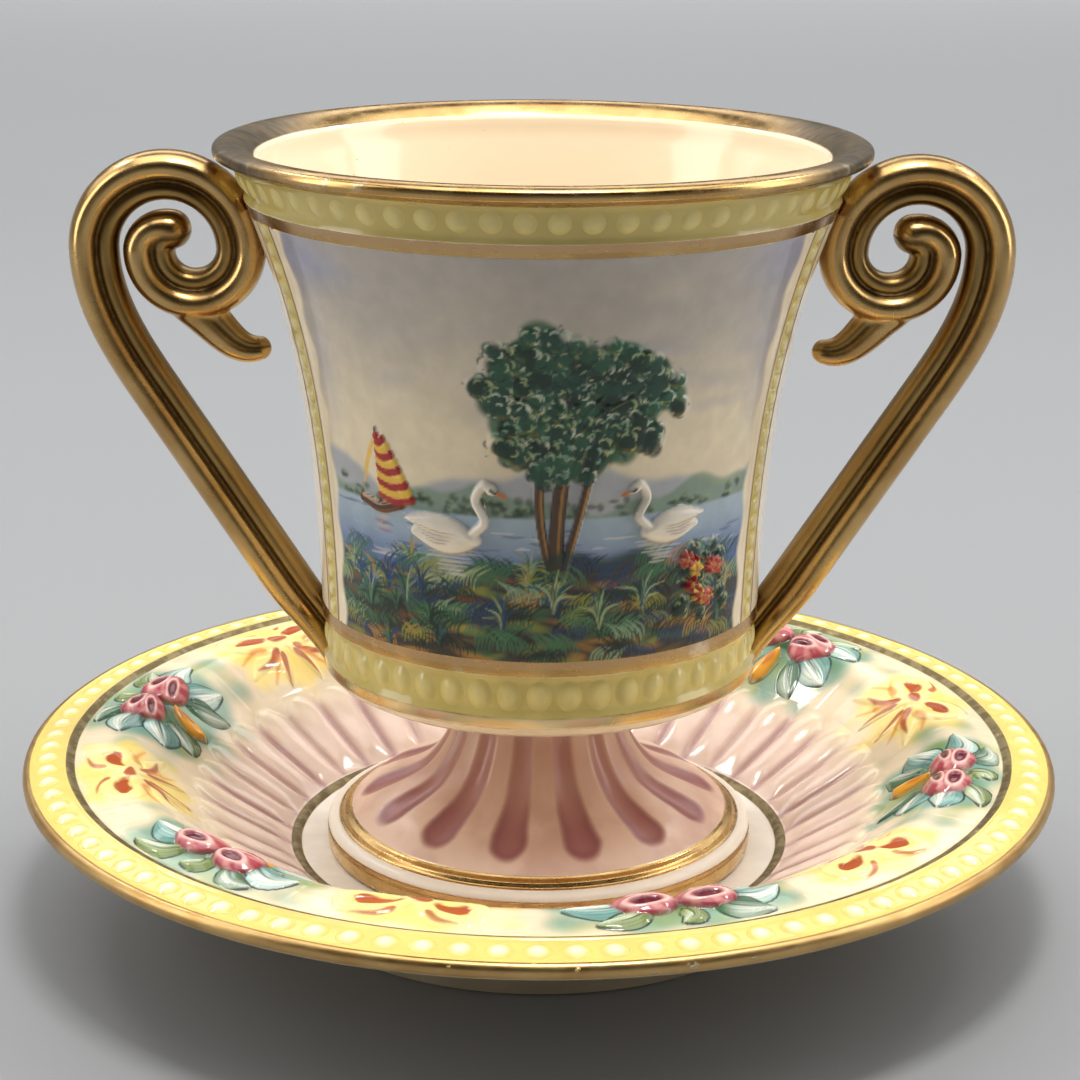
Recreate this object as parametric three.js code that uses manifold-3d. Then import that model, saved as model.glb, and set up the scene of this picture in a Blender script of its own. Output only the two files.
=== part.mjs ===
// A two-handled porcelain cup on a pedestal foot, standing on its moulded saucer.
// Millimetres, +Z up. The origin is the middle of the ring that the saucer stands on.
import * as THREE from "three";
import { mergeVertices } from "three/addons/utils/BufferGeometryUtils.js";
import Module from "manifold-3d";

// Gap between two pieces that meet on a curved face
const SEAT_CLEARANCE = 0.3;

// Saucer, from the rim inwards
const SAUCER_RADIUS = 57;
const SAUCER_HEIGHT = 17.9;
const SAUCER_EDGE_THICKNESS = 1.7;
const SAUCER_EDGE_ROUND = 0.7;
const SAUCER_BAND_WIDTH = 3.9;
const SAUCER_BAND_FALL = 0.6;
const SAUCER_BEAD_COUNT = 96;
const SAUCER_BEAD_RISE = 0.45;
const SAUCER_LINE_WIDTH = 1.1;
const SAUCER_LINE_FALL = 0.4;
const SAUCER_CROWN = 0.3;
const SAUCER_SHOULDER_RADIUS = 44.5;
const SAUCER_SHOULDER_HEIGHT = 17.2;
const SAUCER_WALL = 3.2;
const GADROON_COUNT = 42;
const GADROON_END_RADIUS = 38.2;
const GADROON_END_HEIGHT = 12.6;
const GADROON_END_ROUND = 1.4;
const GADROON_RISE = 0.4;
const GADROON_GROOVE = 0.5;
const WELL_EDGE_RADIUS = 28;
const WELL_EDGE_RISE = 0.5;
const WELL_RADIUS = 26.9;
const WELL_HEIGHT = 5.7;
const STAND_RING_RADIUS = 27.6;
const STAND_RING_WIDTH = 2.6;
const STAND_RING_HEIGHT = 2.7;

// Pedestal foot of the cup, measured up from the saucer's well
const FOOT_HEIGHT = 19;
const FOOT_RADIUS = 23.8;
const FOOT_SIDE_HEIGHT = 2.3;
const FOOT_BEAD_HEIGHT = 1;
const FOOT_BEAD_WIDTH = 1.6;
const FOOT_LINE_HEIGHT = 0.6;
const FOOT_LINE_WIDTH = 0.6;
const FOOT_SHOULDER_RADIUS = 18.3;
const FOOT_SHOULDER_HEIGHT = 6.3;
const FOOT_WAIST_RADIUS = 12.9;
const FOOT_WAIST_HEIGHT = 9.2;
const NECK_RADIUS = 10;
const NECK_LOW_HEIGHT = 14.2;
const FOOT_FLUTE_COUNT = 14;
const FOOT_FLUTE_TURN = -10.5;
const FOOT_FLUTE_DEPTH = 0.75;
const FOOT_FLUTE_END_RADIUS = 19.9;
const FOOT_FLUTE_END_ROUND = 1.2;
const FOOT_RECESS_RADIUS = 19.8;
const FOOT_RECESS_HEIGHT = 6.5;

// Bowl of the cup, measured up from the top of the foot
const BOWL_HEIGHT = 59.9;
const BOWL_BASE_RADIUS = 23.8;
const BOWL_LIP_RADIUS = 34;
const BOWL_FLARE_POWER = 3;
const BOWL_TAPER_SHARE = 0.06;
const BOWL_WALL = 3;
const BOWL_FLOOR = 4.6;
const BOWL_FLOOR_ROUND = 4;
const BOWL_SEAT_RADIUS = 10.8;
const BOWL_UNDERSIDE_RADIUS = 22.2;
const BOWL_UNDERSIDE_RISE = 1.4;
const BOWL_EDGE_HEIGHT = 2.8;
const BOWL_BEAD_RISE = 0.4;
const LOWER_BAND_START = 4;
const LOWER_BAND_WIDTH = 4.4;
const LOWER_BEAD_COUNT = 48;
const UPPER_BAND_START = 54.1;
const UPPER_BAND_WIDTH = 4;
const UPPER_BEAD_COUNT = 62;
const LIP_THICKNESS = 4.2;
const LIP_DEPTH = 1.9;
const LIP_ROLL = 0.5;

// Scrolled handle, in the plane through the cup's axis
const STRAP_WIDTH = 5.3;
const STRAP_DEPTH = 5.6;
const STRAP_SEAT_HEIGHT = 51.4;
const STRAP_SEAT_BITE = 0.8;
const SCROLL_RADIUS = 7.8;
const CURL_RADIUS = 5.1;
const CURL_TIGHTENING = 0.45;
const CURL_WIDTH = 5.5;
const EYE_RADIUS = 2.35;
const EYE_RISE = 2;
const EYE_START = -9;
const EYE_END = 90;
const EYE_WIDTH = 4.6;
const EYE_TIP_WIDTH = 3.9;
const LIMB_ROOT_HEIGHT = 5.2;
const LIMB_ROOT_LENGTH = 7;
const LIMB_SHOULDER_DROP = 14.7;
const LIMB_SHOULDER_REACH = 2.2;
const TAIL_ROOT_REACH = 2.4;
const TAIL_ROOT_DROP = 4.4;
const TAIL_HIP_DROP = 5.1;
const TAIL_BEND_REACH = 2.7;
const TAIL_BEND_DROP = 9.9;
const TAIL_WIDTH = 5.8;
const TAIL_DEPTH = 5;
const TAIL_TIP_GAP = 3.8;
const TAIL_TIP_DROP = 10.6;
const TAIL_TIP_WIDTH = 2.6;
const TAIL_TIP_DEPTH = 3;
const OUTER_REED = { middle: 0.22, radius: 0.28, half: 0.5, opening: 55, points: 7 };
const INNER_REED = { middle: -0.27, radius: 0.23, half: 0.42, opening: 60, points: 5 };
const REED_GROOVE = { place: -0.05, half: 0.27 };

// How finely the round shapes are cut
const UNDERSIDE_COLUMNS = 66;
const WALL_COLUMNS = 62;
const COLUMNS_PER_LOBE = 4;
const COLUMNS_PER_FLUTE = 6;
const PANEL_STEPS = 6;
const INSIDE_STEPS = 4;
const SEAT_SEARCH_STEP = 0.01;
const WALL_CUT_STEPS = 18;
const LIMB_STEPS = 2;
const BEND_STEPS = 3;
const SCROLL_STEPS = 8;
const CURL_STEPS = 7;
const EYE_STEPS = 3;
const TAIL_STEPS = 8;
const BEND_START_SHARE = 0.4;
const BEND_END_SHARE = 0.35;
const UNDERSIDE_MARGIN = 1;
const GADROON_TOP_SHARE = 1.6;
const GADROON_EDGE_SHARE = 0.3;
const SAUCER_BEAD_SHARES = [0.3, 0.7];
const BOWL_BEAD_SHARES = [0.25, 0.75];
const FOOT_EDGE_ROUND = 0.4;
const FOOT_BEAD_ROUND = { across: 0.3, down: 0.15 };
const LIP_TOP = { across: 0.25, down: 0 };
const LIP_INSIDE = { across: 0.55, down: 0.2 };
const FLOOR_CORNER_SHARE = 0.3;
const FIELD_SHARES = [0.35, 0.68];
const TRUMPET_SHARES = [0, 0.09, 0.2, 0.32, 0.45, 0.6, 0.78, 1];
const RECESS_ANGLES = [65, 40, 18, 0];
const ROUND_END_ANGLES = [0, 35, 60, 80];

const BOWL_BASE = WELL_HEIGHT + FOOT_HEIGHT;

// A closed ring of points round the axis; shape gives each share of a turn its radius and height
function ring(columns, shape) {
  return Array.from({ length: columns }, (_, i) => {
    const turn = i / columns;
    const angle = 2 * Math.PI * turn;
    const [radius, height] = shape(turn);
    return new THREE.Vector3(radius * Math.cos(angle), radius * Math.sin(angle), height);
  });
}

// A plain round ring
function circle(columns, radius, height) {
  return ring(columns, () => [radius, height]);
}

// The point where a surface ends on the axis
function pole(height) {
  return [new THREE.Vector3(0, 0, height)];
}

// One closed surface through a list of rings, each of which may have its own number of points
function skin(rings) {
  const positions = rings.flat().flatMap((point) => point.toArray());
  const index = [];
  let start = 0;
  for (let k = 0; k + 1 < rings.length; k++) {
    const next = start + rings[k].length;
    const [here, there] = [rings[k].length, rings[k + 1].length];
    const [steps, nextSteps] = [here, there].map((count) => (count > 1 ? count : 0));
    let i = 0;
    let j = 0;
    while (i < steps || j < nextSteps) {
      const [a, b] = [start + (i % here), next + (j % there)];
      const behind = i < steps && (i + 0.5) * nextSteps <= (j + 0.5) * steps;
      if (j === nextSteps || behind) {
        i++;
        index.push(a, start + (i % here), b);
      } else {
        j++;
        index.push(a, next + (j % there), b);
      }
    }
    start = next;
  }
  const geometry = new THREE.BufferGeometry();
  geometry.setAttribute("position", new THREE.Float32BufferAttribute(positions, 3));
  geometry.setIndex(index);
  return geometry;
}

// Height from 0 to 1 over one bead or gadroon, round on top and creased where two of them meet
function lobe(count, turn) {
  return Math.sqrt(Math.abs(Math.sin(Math.PI * count * turn)));
}

// Height from 0 to 1 over one pearl, round on top and flat where two of them are apart
function pearl(count, turn) {
  return Math.sin(Math.PI * count * turn) ** 2;
}

// Depth from 0 to 1 over one flute, a hollow in the middle half of its share of the turn
function hollow(count, turn) {
  const fromMiddle = Math.abs(((count * turn) % 1) - 0.5);
  return fromMiddle < 0.25 ? Math.cos(2 * Math.PI * fromMiddle) : 0;
}

// Saucer: stand ring, cavetto with raised gadroons, plain field, gilt line and beaded rim
function saucerGeometry() {
  const standInside = STAND_RING_RADIUS - STAND_RING_WIDTH / 2;
  const standOutside = STAND_RING_RADIUS + STAND_RING_WIDTH / 2;
  const bandOutside = SAUCER_RADIUS - SAUCER_EDGE_ROUND;
  const bandInside = bandOutside - SAUCER_BAND_WIDTH;
  const lineInside = bandInside - SAUCER_LINE_WIDTH;
  const lineHeight = SAUCER_HEIGHT - SAUCER_LINE_FALL;
  const edgeTop = SAUCER_HEIGHT - SAUCER_BAND_FALL;
  const wellEdge = WELL_HEIGHT + WELL_EDGE_RISE;
  const slope = (GADROON_END_HEIGHT - wellEdge) / (GADROON_END_RADIUS - WELL_EDGE_RADIUS);
  const slopeHeight = (radius) => wellEdge + slope * (radius - WELL_EDGE_RADIUS);
  const standTop = slopeHeight(standOutside + UNDERSIDE_MARGIN) - SAUCER_WALL;
  const under = (radius, height) =>
    circle(UNDERSIDE_COLUMNS, radius + UNDERSIDE_MARGIN, height - SAUCER_WALL);

  const beadRing = (share) =>
    ring(SAUCER_BEAD_COUNT * COLUMNS_PER_LOBE, (turn) => [
      bandOutside - SAUCER_BAND_WIDTH * share,
      edgeTop + SAUCER_BAND_FALL * share + SAUCER_BEAD_RISE * pearl(SAUCER_BEAD_COUNT, turn),
    ]);
  const gadroonRing = (radius, share) =>
    ring(GADROON_COUNT * COLUMNS_PER_LOBE, (turn) => {
      const swell = lobe(GADROON_COUNT, turn);
      return [radius, slopeHeight(radius) + share * (GADROON_RISE * swell - GADROON_GROOVE * (1 - swell))];
    });
  const gadroonEnds = ring(GADROON_COUNT * COLUMNS_PER_LOBE, (turn) => {
    const radius = GADROON_END_RADIUS - GADROON_END_ROUND * (1 - lobe(GADROON_COUNT, turn));
    return [radius, slopeHeight(radius)];
  });
  const gadroonTops = GADROON_END_RADIUS - GADROON_TOP_SHARE * GADROON_END_ROUND;
  const crownRadius = (lineInside + SAUCER_SHOULDER_RADIUS) / 2;
  const field = new THREE.SplineCurve([
    new THREE.Vector2(lineInside, lineHeight),
    new THREE.Vector2(crownRadius, lineHeight + SAUCER_CROWN),
    new THREE.Vector2(SAUCER_SHOULDER_RADIUS, SAUCER_SHOULDER_HEIGHT),
    new THREE.Vector2(GADROON_END_RADIUS, GADROON_END_HEIGHT),
  ]);
  const fieldRing = (share) => {
    const at = field.getPoint(share);
    return circle(UNDERSIDE_COLUMNS, at.x, at.y);
  };

  return skin([
    pole(STAND_RING_HEIGHT),
    circle(UNDERSIDE_COLUMNS, standInside - UNDERSIDE_MARGIN, STAND_RING_HEIGHT),
    circle(UNDERSIDE_COLUMNS, standInside, 0),
    circle(UNDERSIDE_COLUMNS, standOutside, 0),
    circle(UNDERSIDE_COLUMNS, standOutside + UNDERSIDE_MARGIN, standTop),
    under(GADROON_END_RADIUS, GADROON_END_HEIGHT),
    under(SAUCER_SHOULDER_RADIUS, SAUCER_SHOULDER_HEIGHT),
    circle(SAUCER_BEAD_COUNT, bandOutside, edgeTop - SAUCER_EDGE_THICKNESS),
    circle(SAUCER_BEAD_COUNT, SAUCER_RADIUS, edgeTop - SAUCER_EDGE_THICKNESS / 2),
    circle(SAUCER_BEAD_COUNT, bandOutside, edgeTop),
    ...SAUCER_BEAD_SHARES.map(beadRing),
    circle(SAUCER_BEAD_COUNT, bandInside, SAUCER_HEIGHT),
    circle(SAUCER_BEAD_COUNT, lineInside, lineHeight),
    ...FIELD_SHARES.map(fieldRing),
    gadroonEnds,
    gadroonRing(gadroonTops, 1),
    gadroonRing(WELL_EDGE_RADIUS + GADROON_END_ROUND, 1),
    gadroonRing(WELL_EDGE_RADIUS, GADROON_EDGE_SHARE),
    circle(UNDERSIDE_COLUMNS, WELL_RADIUS, WELL_HEIGHT),
    pole(WELL_HEIGHT),
  ]);
}

// Foot: gilt base, white bead, gilt line and a fluted trumpet up to the neck, hollow underneath
function footGeometry() {
  const columns = FOOT_FLUTE_COUNT * COLUMNS_PER_FLUTE;
  const baseColumns = columns / 2;
  const beadTop = FOOT_SIDE_HEIGHT + FOOT_BEAD_HEIGHT;
  const beadInside = FOOT_RADIUS - FOOT_BEAD_WIDTH;
  const lineInside = beadInside - FOOT_LINE_WIDTH;
  const lineTop = beadTop + FOOT_LINE_HEIGHT;
  const roundRadius = FOOT_RADIUS - FOOT_BEAD_ROUND.across * FOOT_BEAD_WIDTH;
  const roundHeight = beadTop - FOOT_BEAD_ROUND.down * FOOT_BEAD_HEIGHT;
  const trumpet = new THREE.SplineCurve([
    new THREE.Vector2(lineInside, lineTop),
    new THREE.Vector2(FOOT_SHOULDER_RADIUS, FOOT_SHOULDER_HEIGHT),
    new THREE.Vector2(FOOT_WAIST_RADIUS, FOOT_WAIST_HEIGHT),
    new THREE.Vector2(NECK_RADIUS, NECK_LOW_HEIGHT),
    new THREE.Vector2(NECK_RADIUS, FOOT_HEIGHT),
  ]);
  const trumpetRing = (share) => {
    const at = trumpet.getPoint(share);
    const along = trumpet.getTangent(share);
    const begun = (FOOT_FLUTE_END_RADIUS - at.x) / FOOT_FLUTE_END_ROUND;
    const cut = share < 1 ? FOOT_FLUTE_DEPTH * THREE.MathUtils.clamp(begun, 0, 1) : 0;
    return ring(columns, (turn) => {
      const depth = cut * hollow(FOOT_FLUTE_COUNT, turn);
      return [at.x - depth * along.y, at.y + depth * along.x];
    });
  };
  const recessRing = (degrees) => {
    const angle = THREE.MathUtils.degToRad(degrees);
    return circle(baseColumns, FOOT_RECESS_RADIUS * Math.cos(angle), FOOT_RECESS_HEIGHT * Math.sin(angle));
  };

  return skin([
    pole(FOOT_RECESS_HEIGHT),
    ...RECESS_ANGLES.map(recessRing),
    circle(baseColumns, FOOT_RADIUS - FOOT_EDGE_ROUND, 0),
    circle(baseColumns, FOOT_RADIUS, FOOT_EDGE_ROUND),
    circle(baseColumns, FOOT_RADIUS, FOOT_SIDE_HEIGHT),
    circle(baseColumns, roundRadius, roundHeight),
    circle(baseColumns, beadInside, beadTop),
    ...TRUMPET_SHARES.map(trumpetRing),
    pole(FOOT_HEIGHT),
  ]);
}

// Radius of the bowl's outer wall at a height above its base
function wallRadius(height) {
  const share = height / BOWL_HEIGHT;
  const flare = BOWL_TAPER_SHARE * share + (1 - BOWL_TAPER_SHARE) * share ** BOWL_FLARE_POWER;
  return BOWL_BASE_RADIUS + (BOWL_LIP_RADIUS - BOWL_BASE_RADIUS) * flare;
}

// A row of beads round the wall, flush with it on top and creased between them
function beadBand(start, width, count) {
  const beadRing = (share) => {
    const height = start + width * share;
    return ring(count * COLUMNS_PER_LOBE, (turn) => [
      wallRadius(height) - BOWL_BEAD_RISE * (1 - lobe(count, turn)),
      height,
    ]);
  };
  return [
    circle(count, wallRadius(start), start),
    ...BOWL_BEAD_SHARES.map(beadRing),
    circle(count, wallRadius(start + width), start + width),
  ];
}

// Bowl: bell-shaped wall with a beaded band at each end, rolled lip and open inside
function bowlGeometry() {
  const panelStart = LOWER_BAND_START + LOWER_BAND_WIDTH;
  const panelSpan = UPPER_BAND_START - panelStart;
  const panel = Array.from({ length: PANEL_STEPS - 1 }, (_, i) => {
    const height = panelStart + (panelSpan * (i + 1)) / PANEL_STEPS;
    return circle(WALL_COLUMNS, wallRadius(height), height);
  });
  const lipBottom = UPPER_BAND_START + UPPER_BAND_WIDTH;
  const lipInside = BOWL_LIP_RADIUS - LIP_THICKNESS;
  const insideTop = BOWL_HEIGHT - LIP_DEPTH;
  const lipRing = ({ across, down }) =>
    circle(WALL_COLUMNS, BOWL_LIP_RADIUS - across * LIP_THICKNESS, BOWL_HEIGHT - down * LIP_DEPTH);
  const cornerHeight = BOWL_FLOOR + BOWL_FLOOR_ROUND;
  const cornerRadius = wallRadius(cornerHeight) - BOWL_WALL;
  const cornerCut = FLOOR_CORNER_SHARE * BOWL_FLOOR_ROUND;
  const inside = Array.from({ length: INSIDE_STEPS }, (_, i) => {
    const height = insideTop - ((insideTop - cornerHeight) * (i + 1)) / INSIDE_STEPS;
    return circle(WALL_COLUMNS, wallRadius(height) - BOWL_WALL, height);
  });

  return skin([
    pole(0),
    circle(WALL_COLUMNS, BOWL_SEAT_RADIUS, 0),
    circle(WALL_COLUMNS, BOWL_UNDERSIDE_RADIUS, BOWL_UNDERSIDE_RISE),
    circle(WALL_COLUMNS, wallRadius(BOWL_EDGE_HEIGHT) - BOWL_BEAD_RISE, BOWL_EDGE_HEIGHT),
    ...beadBand(LOWER_BAND_START, LOWER_BAND_WIDTH, LOWER_BEAD_COUNT),
    ...panel,
    ...beadBand(UPPER_BAND_START, UPPER_BAND_WIDTH, UPPER_BEAD_COUNT),
    circle(WALL_COLUMNS, BOWL_LIP_RADIUS + LIP_ROLL, (lipBottom + BOWL_HEIGHT) / 2),
    lipRing(LIP_TOP),
    lipRing(LIP_INSIDE),
    circle(WALL_COLUMNS, lipInside, insideTop),
    ...inside,
    circle(WALL_COLUMNS, cornerRadius - cornerCut, BOWL_FLOOR + cornerCut),
    circle(WALL_COLUMNS, cornerRadius - BOWL_FLOOR_ROUND, BOWL_FLOOR),
    pole(BOWL_FLOOR),
  ]);
}

// Section of the strap: two rounded reeds side by side with a groove between them
function reededSection(width, depth) {
  const reed = ({ middle, radius, half, opening, points }, facing) =>
    Array.from({ length: points }, (_, i) => {
      const degrees = facing + opening - 180 + (2 * (180 - opening) * i) / (points - 1);
      const angle = THREE.MathUtils.degToRad(degrees);
      return [width * (middle + radius * Math.cos(angle)), depth * half * Math.sin(angle)];
    });
  const groove = (side) => [REED_GROOVE.place * width, side * REED_GROOVE.half * depth];
  return [...reed(OUTER_REED, 0), groove(1), ...reed(INNER_REED, 180), groove(-1)];
}

// A strap along stations of the handle's plane, each with a place, a way, a width and a depth
function strap(stations) {
  const loops = stations.map(({ at, way, width, depth }) =>
    reededSection(width, depth).map(
      ([out, side]) => new THREE.Vector3(at.x + out * way.y, side, at.y - out * way.x),
    ),
  );
  const end = ({ at }) => [new THREE.Vector3(at.x, 0, at.y)];
  return skin([end(stations[0]), ...loops, end(stations[stations.length - 1])]);
}

// Stations at even steps along one curve; size gives the width and depth at each share of it
function stationsAlong(curve, steps, size) {
  return Array.from({ length: steps }, (_, i) => {
    const share = i / steps;
    const [width, depth] = size(share);
    return { at: curve.getPoint(share), way: curve.getTangent(share), width, depth };
  });
}

// A round end: the section shrinks over half its width along the last way
function roundEnd(at, way, width, depth) {
  return ROUND_END_ANGLES.map((degrees) => {
    const angle = THREE.MathUtils.degToRad(degrees);
    const place = at.clone().addScaledVector(way, 0.5 * width * Math.sin(angle));
    return { at: place, way, width: width * Math.cos(angle), depth: depth * Math.cos(angle) };
  });
}

// Handle on the +X side: limb, scroll, curl and eye in one strap, with a tail under the curl
function handleGeometry(solid) {
  const seatRise = wallRadius(STRAP_SEAT_HEIGHT + SEAT_SEARCH_STEP) - wallRadius(STRAP_SEAT_HEIGHT);
  const lean = Math.atan(seatRise / SEAT_SEARCH_STEP);
  const reach = SCROLL_RADIUS + STRAP_WIDTH / 2 + SEAT_CLEARANCE - STRAP_SEAT_BITE;
  const scroll = new THREE.Vector2(
    wallRadius(STRAP_SEAT_HEIGHT) + reach * Math.cos(lean),
    STRAP_SEAT_HEIGHT - reach * Math.sin(lean),
  );
  const curl = new THREE.Vector2(scroll.x - SCROLL_RADIUS + CURL_RADIUS, scroll.y);
  const curlEnd = CURL_RADIUS - CURL_TIGHTENING;
  const eye = new THREE.Vector2(curl.x + curlEnd + (CURL_WIDTH - EYE_WIDTH) / 2 - EYE_RADIUS, scroll.y);
  const shoulder = new THREE.Vector2(scroll.x + LIMB_SHOULDER_REACH, scroll.y - LIMB_SHOULDER_DROP);
  const root = new THREE.Vector2(wallRadius(LIMB_ROOT_HEIGHT), LIMB_ROOT_HEIGHT);
  const limbWay = shoulder.clone().sub(root).normalize();
  const limbStart = root.clone().addScaledVector(limbWay, -LIMB_ROOT_LENGTH);
  const scrollStart = new THREE.Vector2(scroll.x + SCROLL_RADIUS, scroll.y);

  const limb = new THREE.LineCurve(limbStart, shoulder);
  const bend = new THREE.CubicBezierCurve(
    shoulder,
    shoulder.clone().addScaledVector(limbWay, BEND_START_SHARE * LIMB_SHOULDER_DROP),
    new THREE.Vector2(scrollStart.x, scrollStart.y - BEND_END_SHARE * LIMB_SHOULDER_DROP),
    scrollStart,
  );
  const arc = (centre, across, up, from, to) =>
    new THREE.EllipseCurve(centre.x, centre.y, across, up, from * Math.PI, to * Math.PI);
  const curlArc = arc(curl, CURL_RADIUS, CURL_RADIUS - CURL_TIGHTENING / 2, 1, 2);
  const tightened = (at, share) => at.setX(at.x - CURL_TIGHTENING * share ** 2);
  const full = () => [STRAP_WIDTH, STRAP_DEPTH];
  const swelling = (share) => [STRAP_WIDTH + (CURL_WIDTH - STRAP_WIDTH) * share, STRAP_DEPTH];
  const curlStations = stationsAlong(curlArc, CURL_STEPS, swelling);
  curlStations.forEach(({ at }, i) => tightened(at, i / CURL_STEPS));
  const strapSolid = solid(
    strap([
      ...stationsAlong(limb, LIMB_STEPS, full),
      ...stationsAlong(bend, BEND_STEPS, full),
      ...stationsAlong(arc(scroll, SCROLL_RADIUS, SCROLL_RADIUS, 0, 1), SCROLL_STEPS, full),
      ...curlStations,
      ...roundEnd(tightened(curlArc.getPoint(1), 1), curlArc.getTangent(1), CURL_WIDTH, STRAP_DEPTH),
    ]),
  );

  const eyeArc = arc(eye, EYE_RADIUS, EYE_RISE, EYE_START / 180, EYE_END / 180);
  const eyeSize = (share) => [EYE_WIDTH + (EYE_TIP_WIDTH - EYE_WIDTH) * share, STRAP_DEPTH];
  const eyeSolid = solid(
    strap([
      ...stationsAlong(eyeArc, EYE_STEPS, eyeSize),
      ...roundEnd(eyeArc.getPoint(1), eyeArc.getTangent(1), EYE_TIP_WIDTH, STRAP_DEPTH),
    ]),
  );

  const tipHeight = curl.y - TAIL_TIP_DROP;
  const tip = new THREE.Vector2(wallRadius(tipHeight) + TAIL_TIP_GAP, tipHeight);
  const tail = new THREE.CubicBezierCurve(
    new THREE.Vector2(curl.x + TAIL_ROOT_REACH, curl.y - TAIL_ROOT_DROP),
    new THREE.Vector2(curl.x, curl.y - TAIL_HIP_DROP),
    new THREE.Vector2(curl.x - TAIL_BEND_REACH, curl.y - TAIL_BEND_DROP),
    tip,
  );
  const tailSize = (share) => [
    TAIL_WIDTH + (TAIL_TIP_WIDTH - TAIL_WIDTH) * share,
    TAIL_DEPTH + (TAIL_TIP_DEPTH - TAIL_DEPTH) * share,
  ];
  const tailSolid = solid(
    strap([
      ...stationsAlong(tail, TAIL_STEPS, tailSize),
      ...roundEnd(tail.getPoint(1), tail.getTangent(1), TAIL_TIP_WIDTH, TAIL_TIP_DEPTH),
    ]),
  );

  const wall = Array.from({ length: WALL_CUT_STEPS + 1 }, (_, i) => {
    const height = (BOWL_HEIGHT * i) / WALL_CUT_STEPS;
    return circle(WALL_COLUMNS, wallRadius(height) + SEAT_CLEARANCE, height);
  });
  const underWall = [pole(-LIMB_ROOT_LENGTH), circle(WALL_COLUMNS, BOWL_BASE_RADIUS, -LIMB_ROOT_LENGTH)];
  const wallSolid = solid(skin([...underWall, ...wall, pole(BOWL_HEIGHT)]));
  return strapSolid.add(eyeSolid).add(tailSolid).subtract(wallSolid);
}

const wasm = await Module();
wasm.setup();

// A closed geometry as a solid that can be joined and cut
function solidOf(geometry) {
  const merged = mergeVertices(geometry);
  return new wasm.Manifold(
    new wasm.Mesh({
      numProp: 3,
      vertProperties: merged.attributes.position.array,
      triVerts: new Uint32Array(merged.index.array),
    }),
  );
}

// A solid as a geometry that three.js can draw
function geometryOf(solid) {
  const { vertProperties, triVerts } = solid.getMesh();
  const geometry = new THREE.BufferGeometry();
  geometry.setAttribute("position", new THREE.BufferAttribute(vertProperties, 3));
  geometry.setIndex(new THREE.BufferAttribute(triVerts, 1));
  return geometry;
}

// A named mesh with its own finish, shaded smooth
function piece(name, geometry, finish) {
  geometry.computeVertexNormals();
  const mesh = new THREE.Mesh(geometry, new THREE.MeshStandardMaterial(finish));
  mesh.name = name;
  return mesh;
}

const GLAZE = { roughness: 0.15, metalness: 0 };
const GILDING = { color: 0xc08a45, roughness: 0.22, metalness: 0.9 };

const saucer = piece("saucer", saucerGeometry(), { color: 0xf3e3c9, ...GLAZE });
const foot = piece("foot", footGeometry(), { color: 0xd9aeb0, ...GLAZE });
foot.position.z = WELL_HEIGHT;
foot.rotation.z = THREE.MathUtils.degToRad(FOOT_FLUTE_TURN);
const bowl = piece("bowl", bowlGeometry(), { color: 0xf1ead9, ...GLAZE });
const handleShape = geometryOf(handleGeometry(solidOf));
const handleRight = piece("handle_right", handleShape, GILDING);
const handleLeft = piece("handle_left", handleShape.clone(), GILDING);
handleLeft.rotation.z = Math.PI;

const upperCup = new THREE.Group();
upperCup.position.z = BOWL_BASE;
upperCup.add(bowl, handleLeft, handleRight);
const cupAndSaucer = new THREE.Group();
cupAndSaucer.add(saucer, foot, upperCup);

export default cupAndSaucer;
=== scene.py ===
# %% [markdown]
# A two-handled porcelain cup on its saucer.
# The set is slip-cast: liquid clay is poured into plaster moulds, and the foot, the bowl and the two
# scrolled handles are stuck together before the firing. Flowers, bows and pearls are part of the moulds,
# and are coloured by hand afterwards, under a clear glaze and beside bands of burnished gold.
# The packed model gives every size and place. This lesson dresses it piece by piece.

# %% Load the frame
import math

import bpy
import numpy as np
from mathutils import Euler, Matrix, Vector
from mathutils.bvhtree import BVHTree


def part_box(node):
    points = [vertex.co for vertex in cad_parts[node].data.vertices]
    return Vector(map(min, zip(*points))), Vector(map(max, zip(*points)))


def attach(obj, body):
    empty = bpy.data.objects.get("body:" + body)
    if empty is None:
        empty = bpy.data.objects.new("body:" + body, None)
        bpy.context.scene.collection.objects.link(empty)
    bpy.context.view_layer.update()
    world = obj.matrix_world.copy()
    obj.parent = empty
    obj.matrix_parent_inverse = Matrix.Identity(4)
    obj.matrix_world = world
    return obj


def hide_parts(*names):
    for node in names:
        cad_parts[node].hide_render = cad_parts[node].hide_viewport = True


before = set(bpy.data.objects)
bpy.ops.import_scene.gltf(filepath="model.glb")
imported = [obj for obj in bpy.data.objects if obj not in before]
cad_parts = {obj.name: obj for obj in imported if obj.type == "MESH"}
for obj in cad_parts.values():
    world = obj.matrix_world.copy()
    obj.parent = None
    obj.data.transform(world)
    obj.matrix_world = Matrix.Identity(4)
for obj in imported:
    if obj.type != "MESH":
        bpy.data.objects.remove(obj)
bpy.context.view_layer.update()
MM = 0.001

# %% [markdown]
# The sizes. What the frame knows is read from the frame: the rims, the heights and where one piece stands
# on another. The rest are the borders of painted and moulded zones, in millimetres, as radii on the saucer
# and as heights on the cup.

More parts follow.
